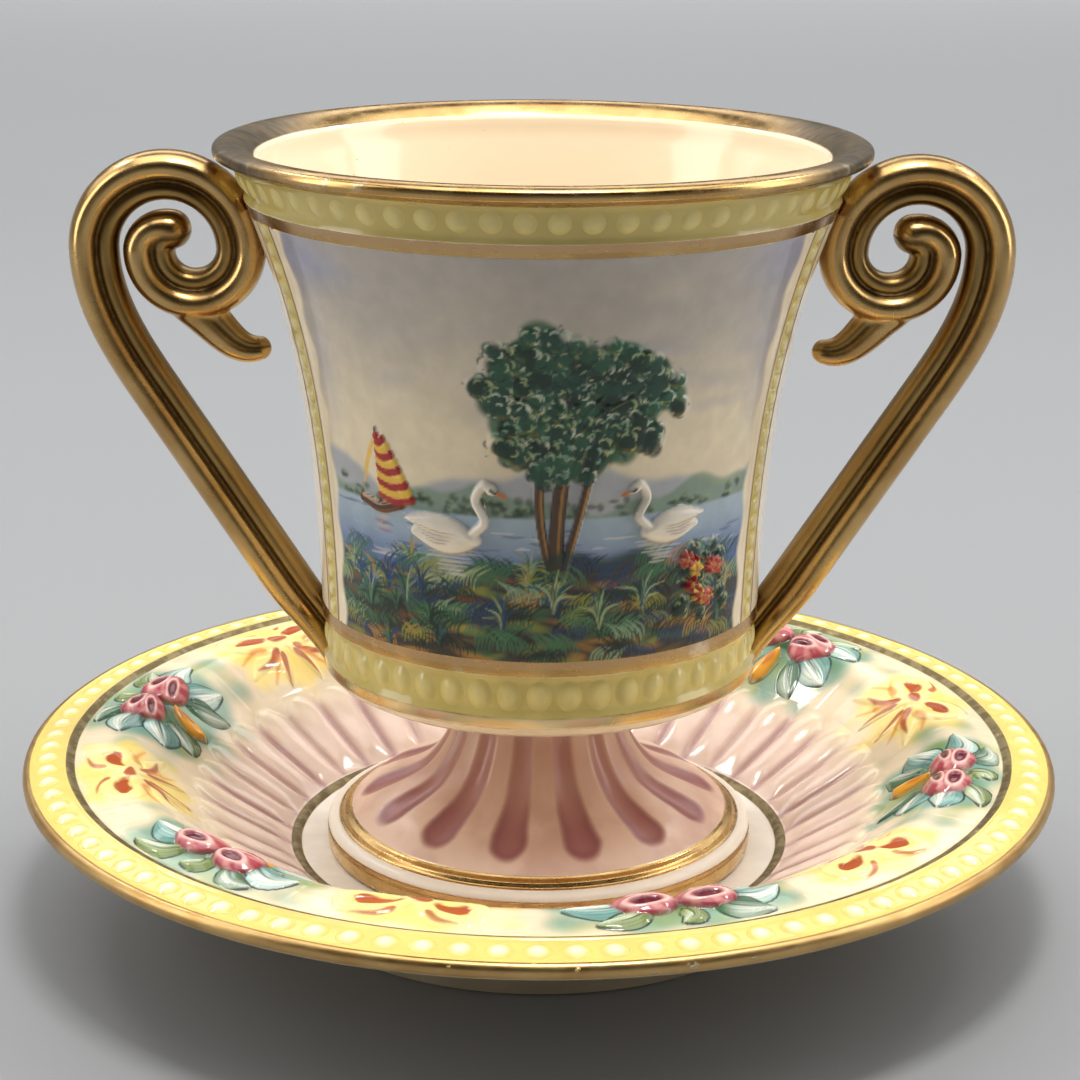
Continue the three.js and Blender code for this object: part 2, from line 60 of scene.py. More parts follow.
# %% Sizes
RIM_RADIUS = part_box("saucer")[1].x / MM
WELL_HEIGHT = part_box("foot")[0].z / MM
BOWL_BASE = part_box("bowl")[0].z / MM
BOWL_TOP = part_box("bowl")[1].z / MM
LIP_ROLL = 0.5
LIP_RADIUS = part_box("bowl")[1].x / MM - LIP_ROLL
FOOT_RADIUS = 23.8
WALL_BASE_RADIUS = 23.8
WALL_THICKNESS = 3.0
BOWL_HEIGHT = BOWL_TOP - BOWL_BASE
FOOT_HEIGHT = BOWL_BASE - WELL_HEIGHT

BAND_OUTSIDE = RIM_RADIUS - 0.7
BAND_INSIDE = BAND_OUTSIDE - 3.9
LINE_INSIDE = BAND_INSIDE - 1.1
BAND_HEIGHT = 17.9
EDGE_HEIGHT = 17.3
LINE_HEIGHT = 17.5
SHOULDER = (44.5, 17.2)
CROWN = ((LINE_INSIDE + SHOULDER[0]) / 2, LINE_HEIGHT + 0.3)
GADROON_END = (38.2, 12.6)
GADROON_COUNT = 42
WELL_EDGE = (28.0, 6.2)
WELL_RADIUS = 26.9
print("saucer", round(2 * RIM_RADIUS, 1), "mm across, mouth", round(2 * (LIP_RADIUS + LIP_ROLL), 1), "mm")

# %% [markdown]
# The camera stands where the photographer stood: in front of the cup, a little above it and looking down
# by about seventeen degrees, with a long lens. It was found from the ellipses that the rims make.

# %% Camera
CAMERA_PLACE = Vector((-0.04, -265.61, 120.31)) * MM
CAMERA_PITCH = math.radians(16.705)
CAMERA_ROLL = math.radians(0.388)
camera_data = bpy.data.cameras.new("camera")
camera_data.sensor_width = 36.0
camera_data.lens = 84.24
camera_data.clip_start = 0.01
camera = bpy.data.objects.new("camera", camera_data)
turn_down = Euler((math.pi / 2 - CAMERA_PITCH, 0, 0)).to_matrix().to_4x4()
camera.matrix_world = Matrix.Translation(CAMERA_PLACE) @ turn_down @ Matrix.Rotation(CAMERA_ROLL, 4, "Z")
bpy.context.scene.collection.objects.link(camera)
bpy.context.scene.camera = camera
bpy.context.scene.view_settings.view_transform = "Standard"
print("camera at", tuple(round(value, 4) for value in camera.matrix_world.translation))

# %% [markdown]
# The light. Gold shows nothing but its surroundings, so it needs bright sheets and some dark between them.
# One wide sheet hangs over the set and two more light the floor behind it, as in the photo, where the
# inside of the bowl and the saucer are brighter than the front of the wall. A small key light and two
# sparks give the crisp spots on the glaze. Sheets beside the cup and far behind it draw the edges of the
# gold. Two of the lights only brighten, so they are kept out of reflections.

# %% Light
def area_light(name, place, target, size, power, colour, mirrored=True):
    """A rectangular sheet of light in metres that faces its target; unmirrored, it leaves no highlight."""
    data = bpy.data.lights.new(name, "AREA")
    data.shape = "RECTANGLE"
    data.size, data.size_y = size
    data.energy = power
    data.color = colour
    lamp = bpy.data.objects.new(name, data)
    lamp.location = place
    lamp.rotation_euler = (Vector(target) - Vector(place)).to_track_quat("-Z", "Y").to_euler()
    lamp.visible_glossy = mirrored
    bpy.context.scene.collection.objects.link(lamp)


CUP_MIDDLE = (0, 0, BOWL_BASE * MM)
area_light("sheet_above", (0.0, 0.12, 1.4), (0, 0.1, 0), (1.5, 1.3), 15.0, (1.0, 0.985, 0.97))
area_light("sheet_behind", (0.0, 1.65, 1.2), (0, 1.4, 0), (2.8, 0.7), 13.0, (1.0, 0.99, 0.98))
area_light("backdrop_wash", (0.0, 2.2, 1.2), (0, 2.2, 0), (3.2, 1.0), 64.0, (1.0, 0.99, 0.98), False)
area_light("fill_front", (0.0, -0.9, 0.5), CUP_MIDDLE, (1.2, 0.6), 0.7, (1.0, 0.97, 0.93), False)
area_light("key", (0.05, -0.06, 0.8), CUP_MIDDLE, (0.2, 0.14), 3.6, (1.0, 0.97, 0.92))
area_light("sheet_left", (-0.62, -0.12, 0.3), CUP_MIDDLE, (0.26, 0.7), 2.0, (1.0, 0.97, 0.93))
area_light("sheet_right", (0.62, -0.05, 0.32), CUP_MIDDLE, (0.26, 0.7), 2.0, (1.0, 0.97, 0.94))
area_light("spark_left", (-0.36, 0.3, 0.5), CUP_MIDDLE, (0.09, 0.06), 0.38, (1.0, 0.98, 0.95))
area_light("spark_right", (0.4, 0.26, 0.52), CUP_MIDDLE, (0.09, 0.06), 0.38, (1.0, 0.98, 0.95))
area_light("far_left", (-1.15, 0.6, 1.0), CUP_MIDDLE, (0.9, 0.9), 3.4, (1.0, 0.98, 0.96))
area_light("far_right", (1.15, 0.6, 1.0), CUP_MIDDLE, (0.9, 0.9), 3.4, (1.0, 0.98, 0.96))
print("lights:", len(bpy.data.lights))

# %% [markdown]
# Node trees are long to write one link at a time. This small class wraps one socket: sums and products of
# wires add the Math nodes, and its method node makes any other node, sets it up first and then fills its
# sockets with numbers, colours or other wires. It serves the room, the materials and the Geometry Nodes.

# %% Wires
class Wire:
    """A socket of a node tree, or, without a socket, only the tree."""

    def __init__(self, tree, socket=None):
        self.tree = tree
        self.socket = socket

    def node(self, kind, settings=None, values=None, output=0):
        """Makes a node, sets it up, fills its sockets and gives back one of its outputs."""
        made = self.tree.nodes.new(kind)
        for name, value in (settings or {}).items():
            setattr(made, name, value)
        for key, value in (values or {}).items():
            if isinstance(value, Wire):
                self.tree.links.new(value.socket, made.inputs[key])
            else:
                made.inputs[key].default_value = value
        return Wire(self.tree, made.outputs[output] if made.outputs else None)

    def math(self, operation, *values):
        """A Math node on wires and numbers."""
        return self.node("ShaderNodeMath", {"operation": operation}, dict(enumerate(values)))

    def __add__(self, other):
        return self.math("ADD", self, other)

    __radd__ = __add__

    def __sub__(self, other):
        return self.math("SUBTRACT", self, other)

    def __rsub__(self, other):
        return self.math("SUBTRACT", other, self)

    def __mul__(self, other):
        return self.math("MULTIPLY", self, other)

    __rmul__ = __mul__

    def __truediv__(self, other):
        return self.math("DIVIDE", self, other)

    def __pow__(self, other):
        return self.math("POWER", self, other)

    def at_least(self, other):
        return self.math("MAXIMUM", self, other)

    def at_most(self, other):
        return self.math("MINIMUM", self, other)

    def between(self, low, high):
        """0 below low, 1 above high and smooth between; high may be the smaller."""
        settings = {"interpolation_type": "SMOOTHSTEP"}
        return self.node("ShaderNodeMapRange", settings, {"Value": self, "From Min": low, "From Max": high})

    def band(self, low, high, soft=0.06):
        """1 from low to high, with soft borders."""
        return self.between(low - soft, low + soft) * self.between(high + soft, high - soft)

    def axes(self):
        """The three parts of a vector."""
        return [self.node("ShaderNodeSeparateXYZ", None, {0: self}, output=axis) for axis in range(3)]


print("a wire knows", [name for name in vars(Wire) if not name.startswith("__")])

# %% [markdown]
# Colours are written as six hex digits, as they are read from a photo. A renderer counts in linear light,
# so each is turned into linear numbers first.

# %% Colours
def paint(code):
    """A colour written as six hex digits, as the linear numbers that a renderer counts with."""
    values = np.array([int(code[i:i + 2], 16) / 255 for i in (0, 2, 4)])
    return np.where(values <= 0.04045, values / 12.92, ((values + 0.055) / 1.055) ** 2.4)


def opaque(code):
    """The same with full cover, as node sockets want it."""
    return (*paint(code), 1.0)


def mix(mask, below, above):
    """One colour laid over another where the mask is 1."""
    values = {0: mask, 6: below, 7: above}
    return mask.node("ShaderNodeMix", {"data_type": "RGBA"}, values, output=2)


print("a middle grey is", paint("808080").round(3))

# %% [markdown]
# The room round the set is what the gold mirrors beside the lights: pale at eye level, dimmer behind the
# camera and dark overhead.

# %% Room
world = bpy.data.worlds.new("room")
world.use_nodes = True
world.node_tree.nodes.clear()
tree = Wire(world.node_tree)
_, depth, level = tree.node("ShaderNodeTexCoord", output="Generated").axes()
front = depth.between(0.25, -0.5) * level.between(-0.05, 0.12)
pale = level.between(-0.25, 0.05) * level.between(0.42, 0.12) * (1 - front * 0.6)
room_values = {"Color": opaque("d4cec4"), "Strength": 0.03 + pale * 0.44}
backdrop = tree.node("ShaderNodeBackground", None, room_values)
tree.node("ShaderNodeOutputWorld", None, {"Surface": backdrop})
bpy.context.scene.world = world
print("the room has", len(world.node_tree.nodes), "nodes")

# %% [markdown]
# Most pieces are turned or cast round one axis, so they are built as rows of points: a profile gives the
# radius and the height of each row, and anything moulded into the surface is added to the rows as numbers
# before the skin is closed. A smooth line through a few points saves writing out the round stretches.

# %% Lines through points
def through(points, steps):
    """A smooth line through points with a number of steps between each two."""
    points = np.array(points, float)
    padded = np.vstack([2 * points[0] - points[1], points, 2 * points[-1] - points[-2]])
    share = np.linspace(0, 1, steps, endpoint=False)[:, None]
    parts = []
    for a, b, c, d in zip(padded, padded[1:], padded[2:], padded[3:]):
        bend = (2 * a - 5 * b + 4 * c - d) * share**2 + (3 * b - a - 3 * c + d) * share**3
        parts.append(b + 0.5 * ((c - a) * share + bend))
    return np.vstack(parts + [points[-1:]])


def straight(points, steps):
    """The same with straight stretches."""
    points = np.array(points, float)
    share = np.linspace(0, 1, steps, endpoint=False)[:, None]
    parts = [a + (b - a) * share for a, b in zip(points, points[1:])]
    return np.vstack(parts + [points[-1:]])


print("3 points with 4 steps between them give", len(through([(0, 0), (1, 1), (2, 0)], 4)), "points")

# %% [markdown]
# A skin is closed by two poles, one under the first row and one over the last. Its faces are listed so
# that they all look outwards.

# %% Skins
def new_mesh(name, points, faces):
    """A smooth-shaded object in metres from points in millimetres."""
    mesh = bpy.data.meshes.new(name)
    mesh.from_pydata((np.asarray(points) * MM).tolist(), [], [list(face) for face in faces])
    mesh.shade_smooth()
    piece = bpy.data.objects.new(name, mesh)
    bpy.context.scene.collection.objects.link(piece)
    return piece


def turned(name, radius, height):
    """A closed skin of rows round the axis; the first row ends in a pole below, the last in one above."""
    rows, columns = radius.shape
    angle = np.arange(columns) * 2 * math.pi / columns
    points = np.stack([radius * np.cos(angle), radius * np.sin(angle), height], axis=-1).reshape(-1, 3)
    poles = np.array([[0, 0, height[0].mean()], [0, 0, height[-1].mean()]])
    column = np.arange(columns)
    beside = (column + 1) % columns
    row = np.arange(rows - 1)[:, None] * columns
    quads = np.stack([row + column, row + beside, row + columns + beside, row + columns + column], axis=-1)
    low, high = len(points), len(points) + 1
    top = (rows - 1) * columns
    faces = quads.reshape(-1, 4).tolist()
    faces += [(low, b, a) for a, b in zip(column.tolist(), beside.tolist())]
    faces += [(high, top + a, top + b) for a, b in zip(column.tolist(), beside.tolist())]
    return new_mesh(name, np.vstack([points, poles]), faces)


def spun(name, rows, columns):
    """A plain turned skin from rows of radius and height."""
    return turned(name, np.repeat(rows[:, :1], columns, axis=1), np.repeat(rows[:, 1:], columns, axis=1))


print("meshes so far:", len(bpy.data.meshes))

# %% [markdown]
# A finished piece carries its paint as one colour at each point. It then rides on a body of the frame,
# gets its material and, where it stands for a plain solid, takes that solid's place.

# %% Finished pieces
def points_of(piece):
    """The points of a piece in millimetres."""
    flat = np.empty(len(piece.data.vertices) * 3, np.float32)
    piece.data.vertices.foreach_get("co", flat)
    return flat.reshape(-1, 3).astype(float) / MM


def lay_paint(piece, colours):
    """Stores one linear colour at each point, for the materials to read."""
    layer = piece.data.color_attributes.new("paint", "FLOAT_COLOR", "POINT")
    filled = np.column_stack([colours, np.ones(len(colours))])
    layer.data.foreach_set("color", filled.astype(np.float32).ravel())


def dress(piece, body, material=None, replaces=None):
    """Puts the material on a finished piece and hands it to the frame."""
    if material:
        piece.data.materials.clear()
        piece.data.materials.append(material)
    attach(piece, body)
    if replaces:
        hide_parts(replaces)
    print(piece.name, "has", len(piece.data.polygons), "faces")
    return piece


# %% [markdown]
# The glaze. All the china shares one clear glaze: bright, smooth and slightly uneven, because it ran in the
# kiln. What lies under it differs: the colour comes from paint stored at the points, and a fine noise breaks
# it up as a brush and the firing do. Gold is fired on top of the glaze. It is a metal film with brush
# marks, rubbed through here and there, so its mask reaches the colour, the metal and the roughness alike.

# %% Glaze and gilding
GOLD = opaque("caa86f")
GOLD_DEEP = opaque("a67d48")
GOLD_WORN = opaque("a39a86")


def place_wires(material):
    """The tree, the object's own place, its three parts in millimetres and the distance from the axis."""
    tree = Wire(material.node_tree)
    place = tree.node("ShaderNodeTexCoord", output="Object")
    split = [part * (1 / MM) for part in place.axes()]
    reach = (split[0] * split[0] + split[1] * split[1]) ** 0.5
    return tree, place, split, reach


def noise(tree, place, scale, detail=3.0, stretch=(1, 1, 1)):
    """Even noise round 0.5, with scale in blotches per metre."""
    moved = tree.node("ShaderNodeVectorMath", {"operation": "MULTIPLY"}, {0: place, 1: stretch})
    return tree.node("ShaderNodeTexNoise", None, {"Vector": moved, "Scale": scale, "Detail": detail})


def gold_colour(tree, place):
    """Burnished gold with deeper clouds and fine rubbed marks."""
    clouds = noise(tree, place, 160).between(0.35, 0.7)
    marks = noise(tree, place, 900, 4, (1, 1, 4)).between(0.62, 0.8)
    return mix(marks * 0.35, mix(clouds * 0.6, GOLD, GOLD_DEEP), GOLD_WORN)


print("gold's red, green and blue:", np.round(GOLD[:3], 2))

# %% [markdown]
# One function joins the parts of a finish. It lays the gold over the glaze by its mask, gives that place
# the metal's own roughness, and takes most of the glaze's ripple away there, because the film is even.

# %% Joining a finish
def join_shader(tree, colour, rough, metal, bump):
    """The one shader of a finish."""
    values = {"Base Color": colour, "Roughness": rough, "Metallic": metal, "Normal": bump}
    shader = tree.node("ShaderNodeBsdfPrincipled", None, values)
    tree.node("ShaderNodeOutputMaterial", None, {"Surface": shader})


def close_glaze(tree, place, colour, gold=None, gold_tint=None, glaze_roughness=0.1, gold_roughness=0.22,
                dull=None, unevenness=0.25):
    """Joins colour and gold mask in one shader with the glaze's slow ripple; dull gold is less a metal."""
    ripple = noise(tree, place, 210, 2)
    rough = glaze_roughness + (noise(tree, place, 1500) - 0.5) * 0.06
    metal = 0.0
    if gold is not None:
        colour = mix(gold, colour, gold_tint or gold_colour(tree, place))
        brushed = gold_roughness + (noise(tree, place, 500, 4, (1, 1, 3)) - 0.5) * 0.3
        rough = rough + (brushed - rough) * gold
        metal = gold
        ripple = ripple * (1 - gold * 0.75)
        if dull is not None:
            rough = rough + gold * dull * 0.12
            metal = gold * (1 - dull * 0.2)
    values = {"Strength": unevenness, "Distance": 0.25 * MM, "Height": ripple}
    join_shader(tree, colour, rough, metal, tree.node("ShaderNodeBump", None, values))


print("finishes so far:", len(bpy.data.materials))

# %% [markdown]
# The first finish is the glaze over stored paint. All flowers, bows, pearls and pictures use it.

# %% Painted glaze
def new_material(name):
    """An empty material to build a tree in."""
    material = bpy.data.materials.new(name)
    material.use_nodes = True
    material.node_tree.nodes.clear()
    return material


def painted(tree, place, scale, dimmest, span):
    """The paint stored at the points, a little lighter and darker in clouds."""
    stored = tree.node("ShaderNodeVertexColor", {"layer_name": "paint"})
    cloud = noise(tree, place, scale, 4).between(0.3, 0.75)
    return tree.node("ShaderNodeHueSaturation", None, {"Value": dimmest + cloud * span, "Color": stored})


painted_glaze = new_material("painted_glaze")
tree, place, split, reach_wire = place_wires(painted_glaze)
close_glaze(tree, place, painted(tree, place, 420, 0.93, 0.12))
print("materials:", len(bpy.data.materials))

# %% [markdown]
# Painting with numbers. A canvas is a set of points with a flat place in millimetres, a colour and a height
# above the ground. A stroke follows a line: every point near the line takes its colour by its distance to
# it, as from a brush, and may rise as the mould does under it. Leaves, petals, grass and clouds are all
# strokes of different forms, so the same few functions paint the saucer's flowers and the bowl's picture.

# %% Forms of a stroke
def smooth(value, low, high):
    """0 at low, 1 at high and smooth between."""
    share = np.clip((value - low) / (high - low), 0, 1)
    return share * share * (3 - 2 * share)


def even(along):
    """As wide at its ends as in its middle."""
    return np.ones_like(along)


def tear(along):
    """A teardrop: pointed at its start and round at its end."""
    return np.sqrt(np.clip(along, 0, 1)) * np.sqrt(np.clip(1.02 - along**6, 0, 1))


def lance(along):
    """Pointed at both ends, widest before the middle."""
    return np.clip(np.sin(math.pi * np.clip(along, 0, 1) ** 0.8), 0, 1) ** 0.75


def blend(below, above, cover):
    """One paint over another, with a cover from 0 to 1 at every point."""
    cover = np.asarray(cover)[:, None]
    return below * (1 - cover) + above * cover


print("a teardrop's widths:", tear(np.linspace(0, 1, 5)).round(2))

# %% [markdown]
# The canvas knows three moves. A stroke follows a line, a blot is a soft oval, and lay puts any colour on
# picked points. Only points inside the box of a line are measured, which keeps thousands of strokes quick.

# %% Canvas
class Canvas:
    """Points on the flat with a colour and a height each."""

    def __init__(self, x, y, ground):
        self.x = x
        self.y = y
        self.colour = np.array(ground, float)
        self.height = np.zeros(len(x))

    def near(self, line, reach):
        """The points near a line, their distance to it, which side they lie on and how far along."""
        low, high = line.min(0) - reach, line.max(0) + reach
        inside = (self.x > low[0]) & (self.x < high[0]) & (self.y > low[1]) & (self.y < high[1])
        picked = np.flatnonzero(inside)
        spot = np.column_stack([self.x[picked], self.y[picked]])
        steps = np.diff(line, axis=0)
        lengths = np.maximum(np.hypot(*steps.T), 1e-6)
        walked = np.concatenate([[0], np.cumsum(lengths)]) / lengths.sum()
        best = np.full(len(picked), 1e9)
        side = np.zeros(len(picked))
        along = np.zeros(len(picked))
        for start, step, length, begun in zip(line, steps, lengths, walked):
            off = spot - start
            share = np.clip(off @ step / length**2, 0, 1)
            gap = np.hypot(*(off - share[:, None] * step).T)
            closer = gap < best
            best = np.where(closer, gap, best)
            turn = step[0] * off[:, 1] - step[1] * off[:, 0]
            side = np.where(closer, np.sign(turn), side)
            along = np.where(closer, begun + share * length / lengths.sum(), along)
        return picked, best, side, along

    def lay(self, picked, cover, colour):
        """Lays a colour over the picked points."""
        self.colour[picked] = blend(self.colour[picked], np.asarray(colour), cover)

    def stroke(self, points, width, colour, strength=1.0, form=even, soft=0.12, lift=0.0):
        """One brush stroke through points."""
        line = through(points, 5) if len(points) > 2 else np.array(points, float)
        picked, gap, _, along = self.near(line, width)
        if len(picked) == 0:
            return
        half = width / 2 * form(along)
        cover = np.clip((half - gap) / soft + 0.5, 0, 1) * strength * (half > 0.01)
        self.lay(picked, cover, colour)
        if lift:
            ridge = np.sqrt(np.clip(1 - (gap / np.maximum(half, 1e-3)) ** 2, 0, 1))
            self.height[picked] = np.maximum(self.height[picked], lift * ridge)

    def blot(self, centre, size, colour, strength=1.0, soft=0.5, turn=0.0):
        """A soft oval patch; soft is the share of its radius that fades."""
        reach = max(size)
        inside = (abs(self.x - centre[0]) < reach) & (abs(self.y - centre[1]) < reach)
        picked = np.flatnonzero(inside)
        across, up = self.x[picked] - centre[0], self.y[picked] - centre[1]
        cos, sin = math.cos(turn), math.sin(turn)
        far = np.hypot((across * cos + up * sin) / size[0], (up * cos - across * sin) / size[1])
        self.lay(picked, smooth(far, 1, 1 - soft) * strength, colour)


def fill_below(canvas, edge, colour, strength=1.0, soft=0.4):
    """Colours everything under a line that is given as a height for every point."""
    canvas.lay(slice(None), smooth(canvas.y - edge, soft, -soft) * strength, colour)


print("a canvas can", [name for name in vars(Canvas) if not name.startswith("__")])

# %% [markdown]
# The saucer's ground. The soft washes under the ornament, green round the flowers and yellow round the
# bows, are laid on the saucer itself, and the same function colours the edges of the separate flower
# pieces, so that their borders vanish.

# %% Washes on the saucer
CREAM = paint("ead8ba")
TEAL_WASH = paint("649785")
GREEN_WASH = paint("7d9a62")
YELLOW_WASH = paint("f5d970")
RIM_GLOW = paint("c9c69a")
SPRAY_RADIUS = 45.3
SPRAY_WASH = (14.4, 8.2, -0.3)
BOW_WASH = (9.6, 6.9, 0.0)
SPRAY_ANGLES = [46.5 + 60 * k for k in range(6)]
BOW_ANGLES = [15.5 + 60 * k for k in range(6)]


def local(x, y, degrees, radius=SPRAY_RADIUS):
    """Millimetres along the rim and outwards, seen from an ornament's middle."""
    angle = math.radians(degrees)
    outward = x * math.cos(angle) + y * math.sin(angle)
    around = y * math.cos(angle) - x * math.sin(angle)
    reach = np.hypot(x, y)
    return np.arctan2(around, outward) * radius, reach - radius


def washes(x, y):
    """The colour of the bare glaze at places on the saucer."""
    colour = np.tile(CREAM, (len(x), 1))
    for k, (spray, bow) in enumerate(zip(SPRAY_ANGLES, BOW_ANGLES)):
        for degrees, tint, size in ((spray, TEAL_WASH, SPRAY_WASH), (bow, YELLOW_WASH, BOW_WASH)):
            around, out = local(x, y, degrees)
            across, up, low = size
            uneven = 1 + 0.14 * np.sin(around * 0.9 + k * 2.1) + 0.1 * np.cos(out * 1.3 + k)
            far = np.hypot(around / across, (out - low) / up) * uneven
            if tint is TEAL_WASH:
                waves = np.sin(around * 0.7 + k * 1.7) + np.cos(out * 0.9 - around * 0.4 + k)
                tint = blend(TEAL_WASH, GREEN_WASH, smooth(waves, 0.1, 1.2))
            colour = blend(colour, tint, smooth(far, 1.1, 0.62) * 0.85)
    return blend(colour, RIM_GLOW, smooth(np.hypot(x, y), 48.5, 51.5) * 0.22)


print("cream is", CREAM.round(2), "in linear numbers")

# %% [markdown]
# The saucer. A turned profile gives the stand ring, the thin rim and the well. The cavetto between well and
# field is gadrooned: forty-two raised lobes with round outer ends and creases between them. Each lobe is a
# formula of the turn and the radius, so it is added to the rows of the profile.

# %% Gadroons
SAUCER_COLUMNS = GADROON_COUNT * 16
GADROON_RISE = 0.68
GADROON_GROOVE = 0.36
STAND_INSIDE, STAND_OUTSIDE, STAND_RECESS = 26.3, 28.9, 2.7


def lobe_shape(reach, turn):
    """How high a gadroon swells at a radius and a share of the turn, and the place across it."""
    across = 2 * ((turn * GADROON_COUNT) % 1) - 1
    half = math.pi * reach / GADROON_COUNT
    past = np.maximum(0, reach - (GADROON_END[0] + 0.4 - half)) / half
    return np.clip(1 - across**2 - past**2, 0, 1) ** 0.55, across


def gadroons(reach, turn):
    """The height that the gadroons add to the cavetto and to the foot of the field."""
    swell, _ = lobe_shape(reach, turn)
    start = smooth(reach, WELL_EDGE[0] - 0.2, WELL_EDGE[0] + 2.2)
    groove = smooth(reach, GADROON_END[0] + 0.6, GADROON_END[0] - 4)
    return start * (GADROON_RISE * swell - GADROON_GROOVE * groove)


print("one gadroon is", round(2 * math.pi * GADROON_END[0] / GADROON_COUNT, 2), "mm wide at its end")

# %% [markdown]
# The profile starts under the saucer's middle, runs out along the stand ring and the underside, turns over
# the thin edge and comes back over the pearls' band and the field to the well.

# %% Saucer
EDGE_MIDDLE, EDGE_ROUND = 16.45, (0.7, 0.85)
BAND_SEAT = 17.468
WELL_FLOOR = WELL_HEIGHT - 0.03


def saucer_profile():
    """Rows of the saucer from under its middle, out over the rim and back in to the well."""
    stand = [(0.5, STAND_RECESS), (20, STAND_RECESS), (STAND_INSIDE - 1, STAND_RECESS - 0.2),
             (STAND_INSIDE, 0.25), (STAND_INSIDE + 0.4, 0), (STAND_OUTSIDE - 0.4, 0), (STAND_OUTSIDE, 0.25)]
    under = [(STAND_OUTSIDE + 1, 4.2), (39.2, 9.4), (45.5, 13.9), (52, 15.2), (BAND_OUTSIDE, 15.6)]
    quarter = np.radians(np.linspace(-90, 90, 11)[1:-1])
    edge = np.column_stack([BAND_OUTSIDE + EDGE_ROUND[0] * np.cos(quarter),
                            EDGE_MIDDLE + EDGE_ROUND[1] * np.sin(quarter)])
    band = [(BAND_OUTSIDE, EDGE_HEIGHT), (BAND_OUTSIDE - 0.25, EDGE_HEIGHT - 0.1), (54.3, BAND_SEAT),
            (BAND_INSIDE + 0.25, 17.72), (BAND_INSIDE, BAND_HEIGHT), (BAND_INSIDE - 0.35, BAND_HEIGHT - 0.02),
            (LINE_INSIDE + 0.2, LINE_HEIGHT + 0.06)]
    slope = straight([GADROON_END, WELL_EDGE], 40)[1:]
    well = [(27.6, 6.3), (27.1, 6.1), (WELL_RADIUS, 5.85), (26.5, WELL_HEIGHT - 0.02), (20, WELL_FLOOR)]
    return np.vstack([straight(stand, 2), through(under, 5), edge, straight(band, 2), FIELD[::8], slope, well,
                      [(0.5, WELL_FLOOR)]])


FIELD = through([(LINE_INSIDE, LINE_HEIGHT), CROWN, SHOULDER, GADROON_END], 96)
profile = saucer_profile()
turn = (np.arange(SAUCER_COLUMNS) / SAUCER_COLUMNS)[None, :]
radius = np.repeat(profile[:, :1], SAUCER_COLUMNS, axis=1)
height = np.repeat(profile[:, 1:], SAUCER_COLUMNS, axis=1)
top_side = (np.arange(len(profile)) > np.argmax(profile[:, 0]))[:, None]
height = height + np.where(top_side, gadroons(radius, turn), 0)
saucer = turned("saucer_china", radius, height)
print("saucer's rows and columns:", radius.shape)

# %% [markdown]
# Its colours. The washes come first, then the pink of the lobes and the mauve in the creases, partly the
# ware's own mauve and partly painted shade, then the white well, the yellow band and the beige underside.

# %% Saucer colours
LOBE_PINK = paint("f3dacb")
LOBE_MAUVE = paint("c29a9a")
WELL_WHITE = paint("fbf3e6")
BAND_YELLOW = "e7cb74"
UNDER_BEIGE = paint("d0c0a0")


def gadroon_tint(colour, reach, turn):
    """Lays the pink of the lobes and the mauve of the creases, partly painted shade, over a ground."""
    _, across = lobe_shape(reach, turn)
    start = GADROON_END[0] + 0.6
    colour = blend(colour, LOBE_PINK, smooth(reach, start, start - 5.6) * 0.95)
    # The mauve in the creases is partly the ware's colour and partly painted shade.
    crease = smooth(abs(across), 0.5, 1.0) * smooth(reach, start, start - 3.6)
    return blend(colour, LOBE_MAUVE, crease * (0.75 + 0.25 * np.sin(across * 0.3 + turn * 90)))


spots = points_of(saucer)
reach = np.hypot(spots[:, 0], spots[:, 1])
ground = washes(spots[:, 0], spots[:, 1])
ground = gadroon_tint(ground, reach, np.arctan2(spots[:, 1], spots[:, 0]) / (2 * math.pi) % 1)
ground = blend(ground, WELL_WHITE, smooth(reach, WELL_EDGE[0] - 0.3, WELL_EDGE[0] - 0.9))
ground[reach > BAND_INSIDE - 0.5] = paint(BAND_YELLOW)
below = spots[:, 2] < np.interp(reach, [0, 30, 39.2, 45.5, 56.3, 57], [4, 4.9, 10.4, 14.6, 16.0, 16.9])
ground[below] = UNDER_BEIGE
lay_paint(saucer, ground)
print("saucer's points:", len(spots))

# %% [markdown]
# Its gilding: a thin line between field and pearls, a ring round the well and the outer edge. The edges of
# the bands waver a little, because a brush drew them while the saucer turned on a wheel.

# %% Saucer material
saucer_glaze = new_material("saucer_glaze")
tree, place, split, reach_wire = place_wires(saucer_glaze)
wavering = reach_wire + (noise(tree, place, 90, 2) - 0.5) * 0.25
gold_line = wavering.band(LINE_INSIDE + 0.05, BAND_INSIDE - 0.1)
gold_well = wavering.band(WELL_RADIUS - 0.1, WELL_EDGE[0] - 0.05)
gold_edge = wavering.between(BAND_OUTSIDE - 0.15, BAND_OUTSIDE) * split[2].between(15.75, 15.95)
above = split[2].between(WELL_HEIGHT - 0.6, WELL_HEIGHT - 0.3)
worn = noise(tree, place, 700, 5).between(0.68, 0.74)
gilded = (gold_line * split[2].between(17, 17.1) + gold_well * above + gold_edge) * (1 - worn * 0.8)
# The line and the well ring are dull gold. Their dark olive tint is partly a painted reflection of the dark
# room.
dull_inner_rings = reach_wire.between(BAND_OUTSIDE - 1, BAND_OUTSIDE - 1.2)
dull_gold_and_painted_reflection = mix(noise(tree, place, 700, 4).between(0.4, 0.62), opaque("5f573c"), opaque("8d8463"))
ring_tint = mix(dull_inner_rings * 0.85, gold_colour(tree, place), dull_gold_and_painted_reflection)
colour = painted(tree, place, 300, 0.94, 0.1)
close_glaze(tree, place, colour, gilded, ring_tint, 0.13, 0.36, dull_inner_rings, 0.55)
dress(saucer, "saucer", saucer_glaze, "saucer")

# %% [markdown]
# What repeats is grown by Geometry Nodes. A group gets named inputs, and it ends with the two nodes that
# turn its copies into plain points and give them their material. The result is kept as a plain mesh.

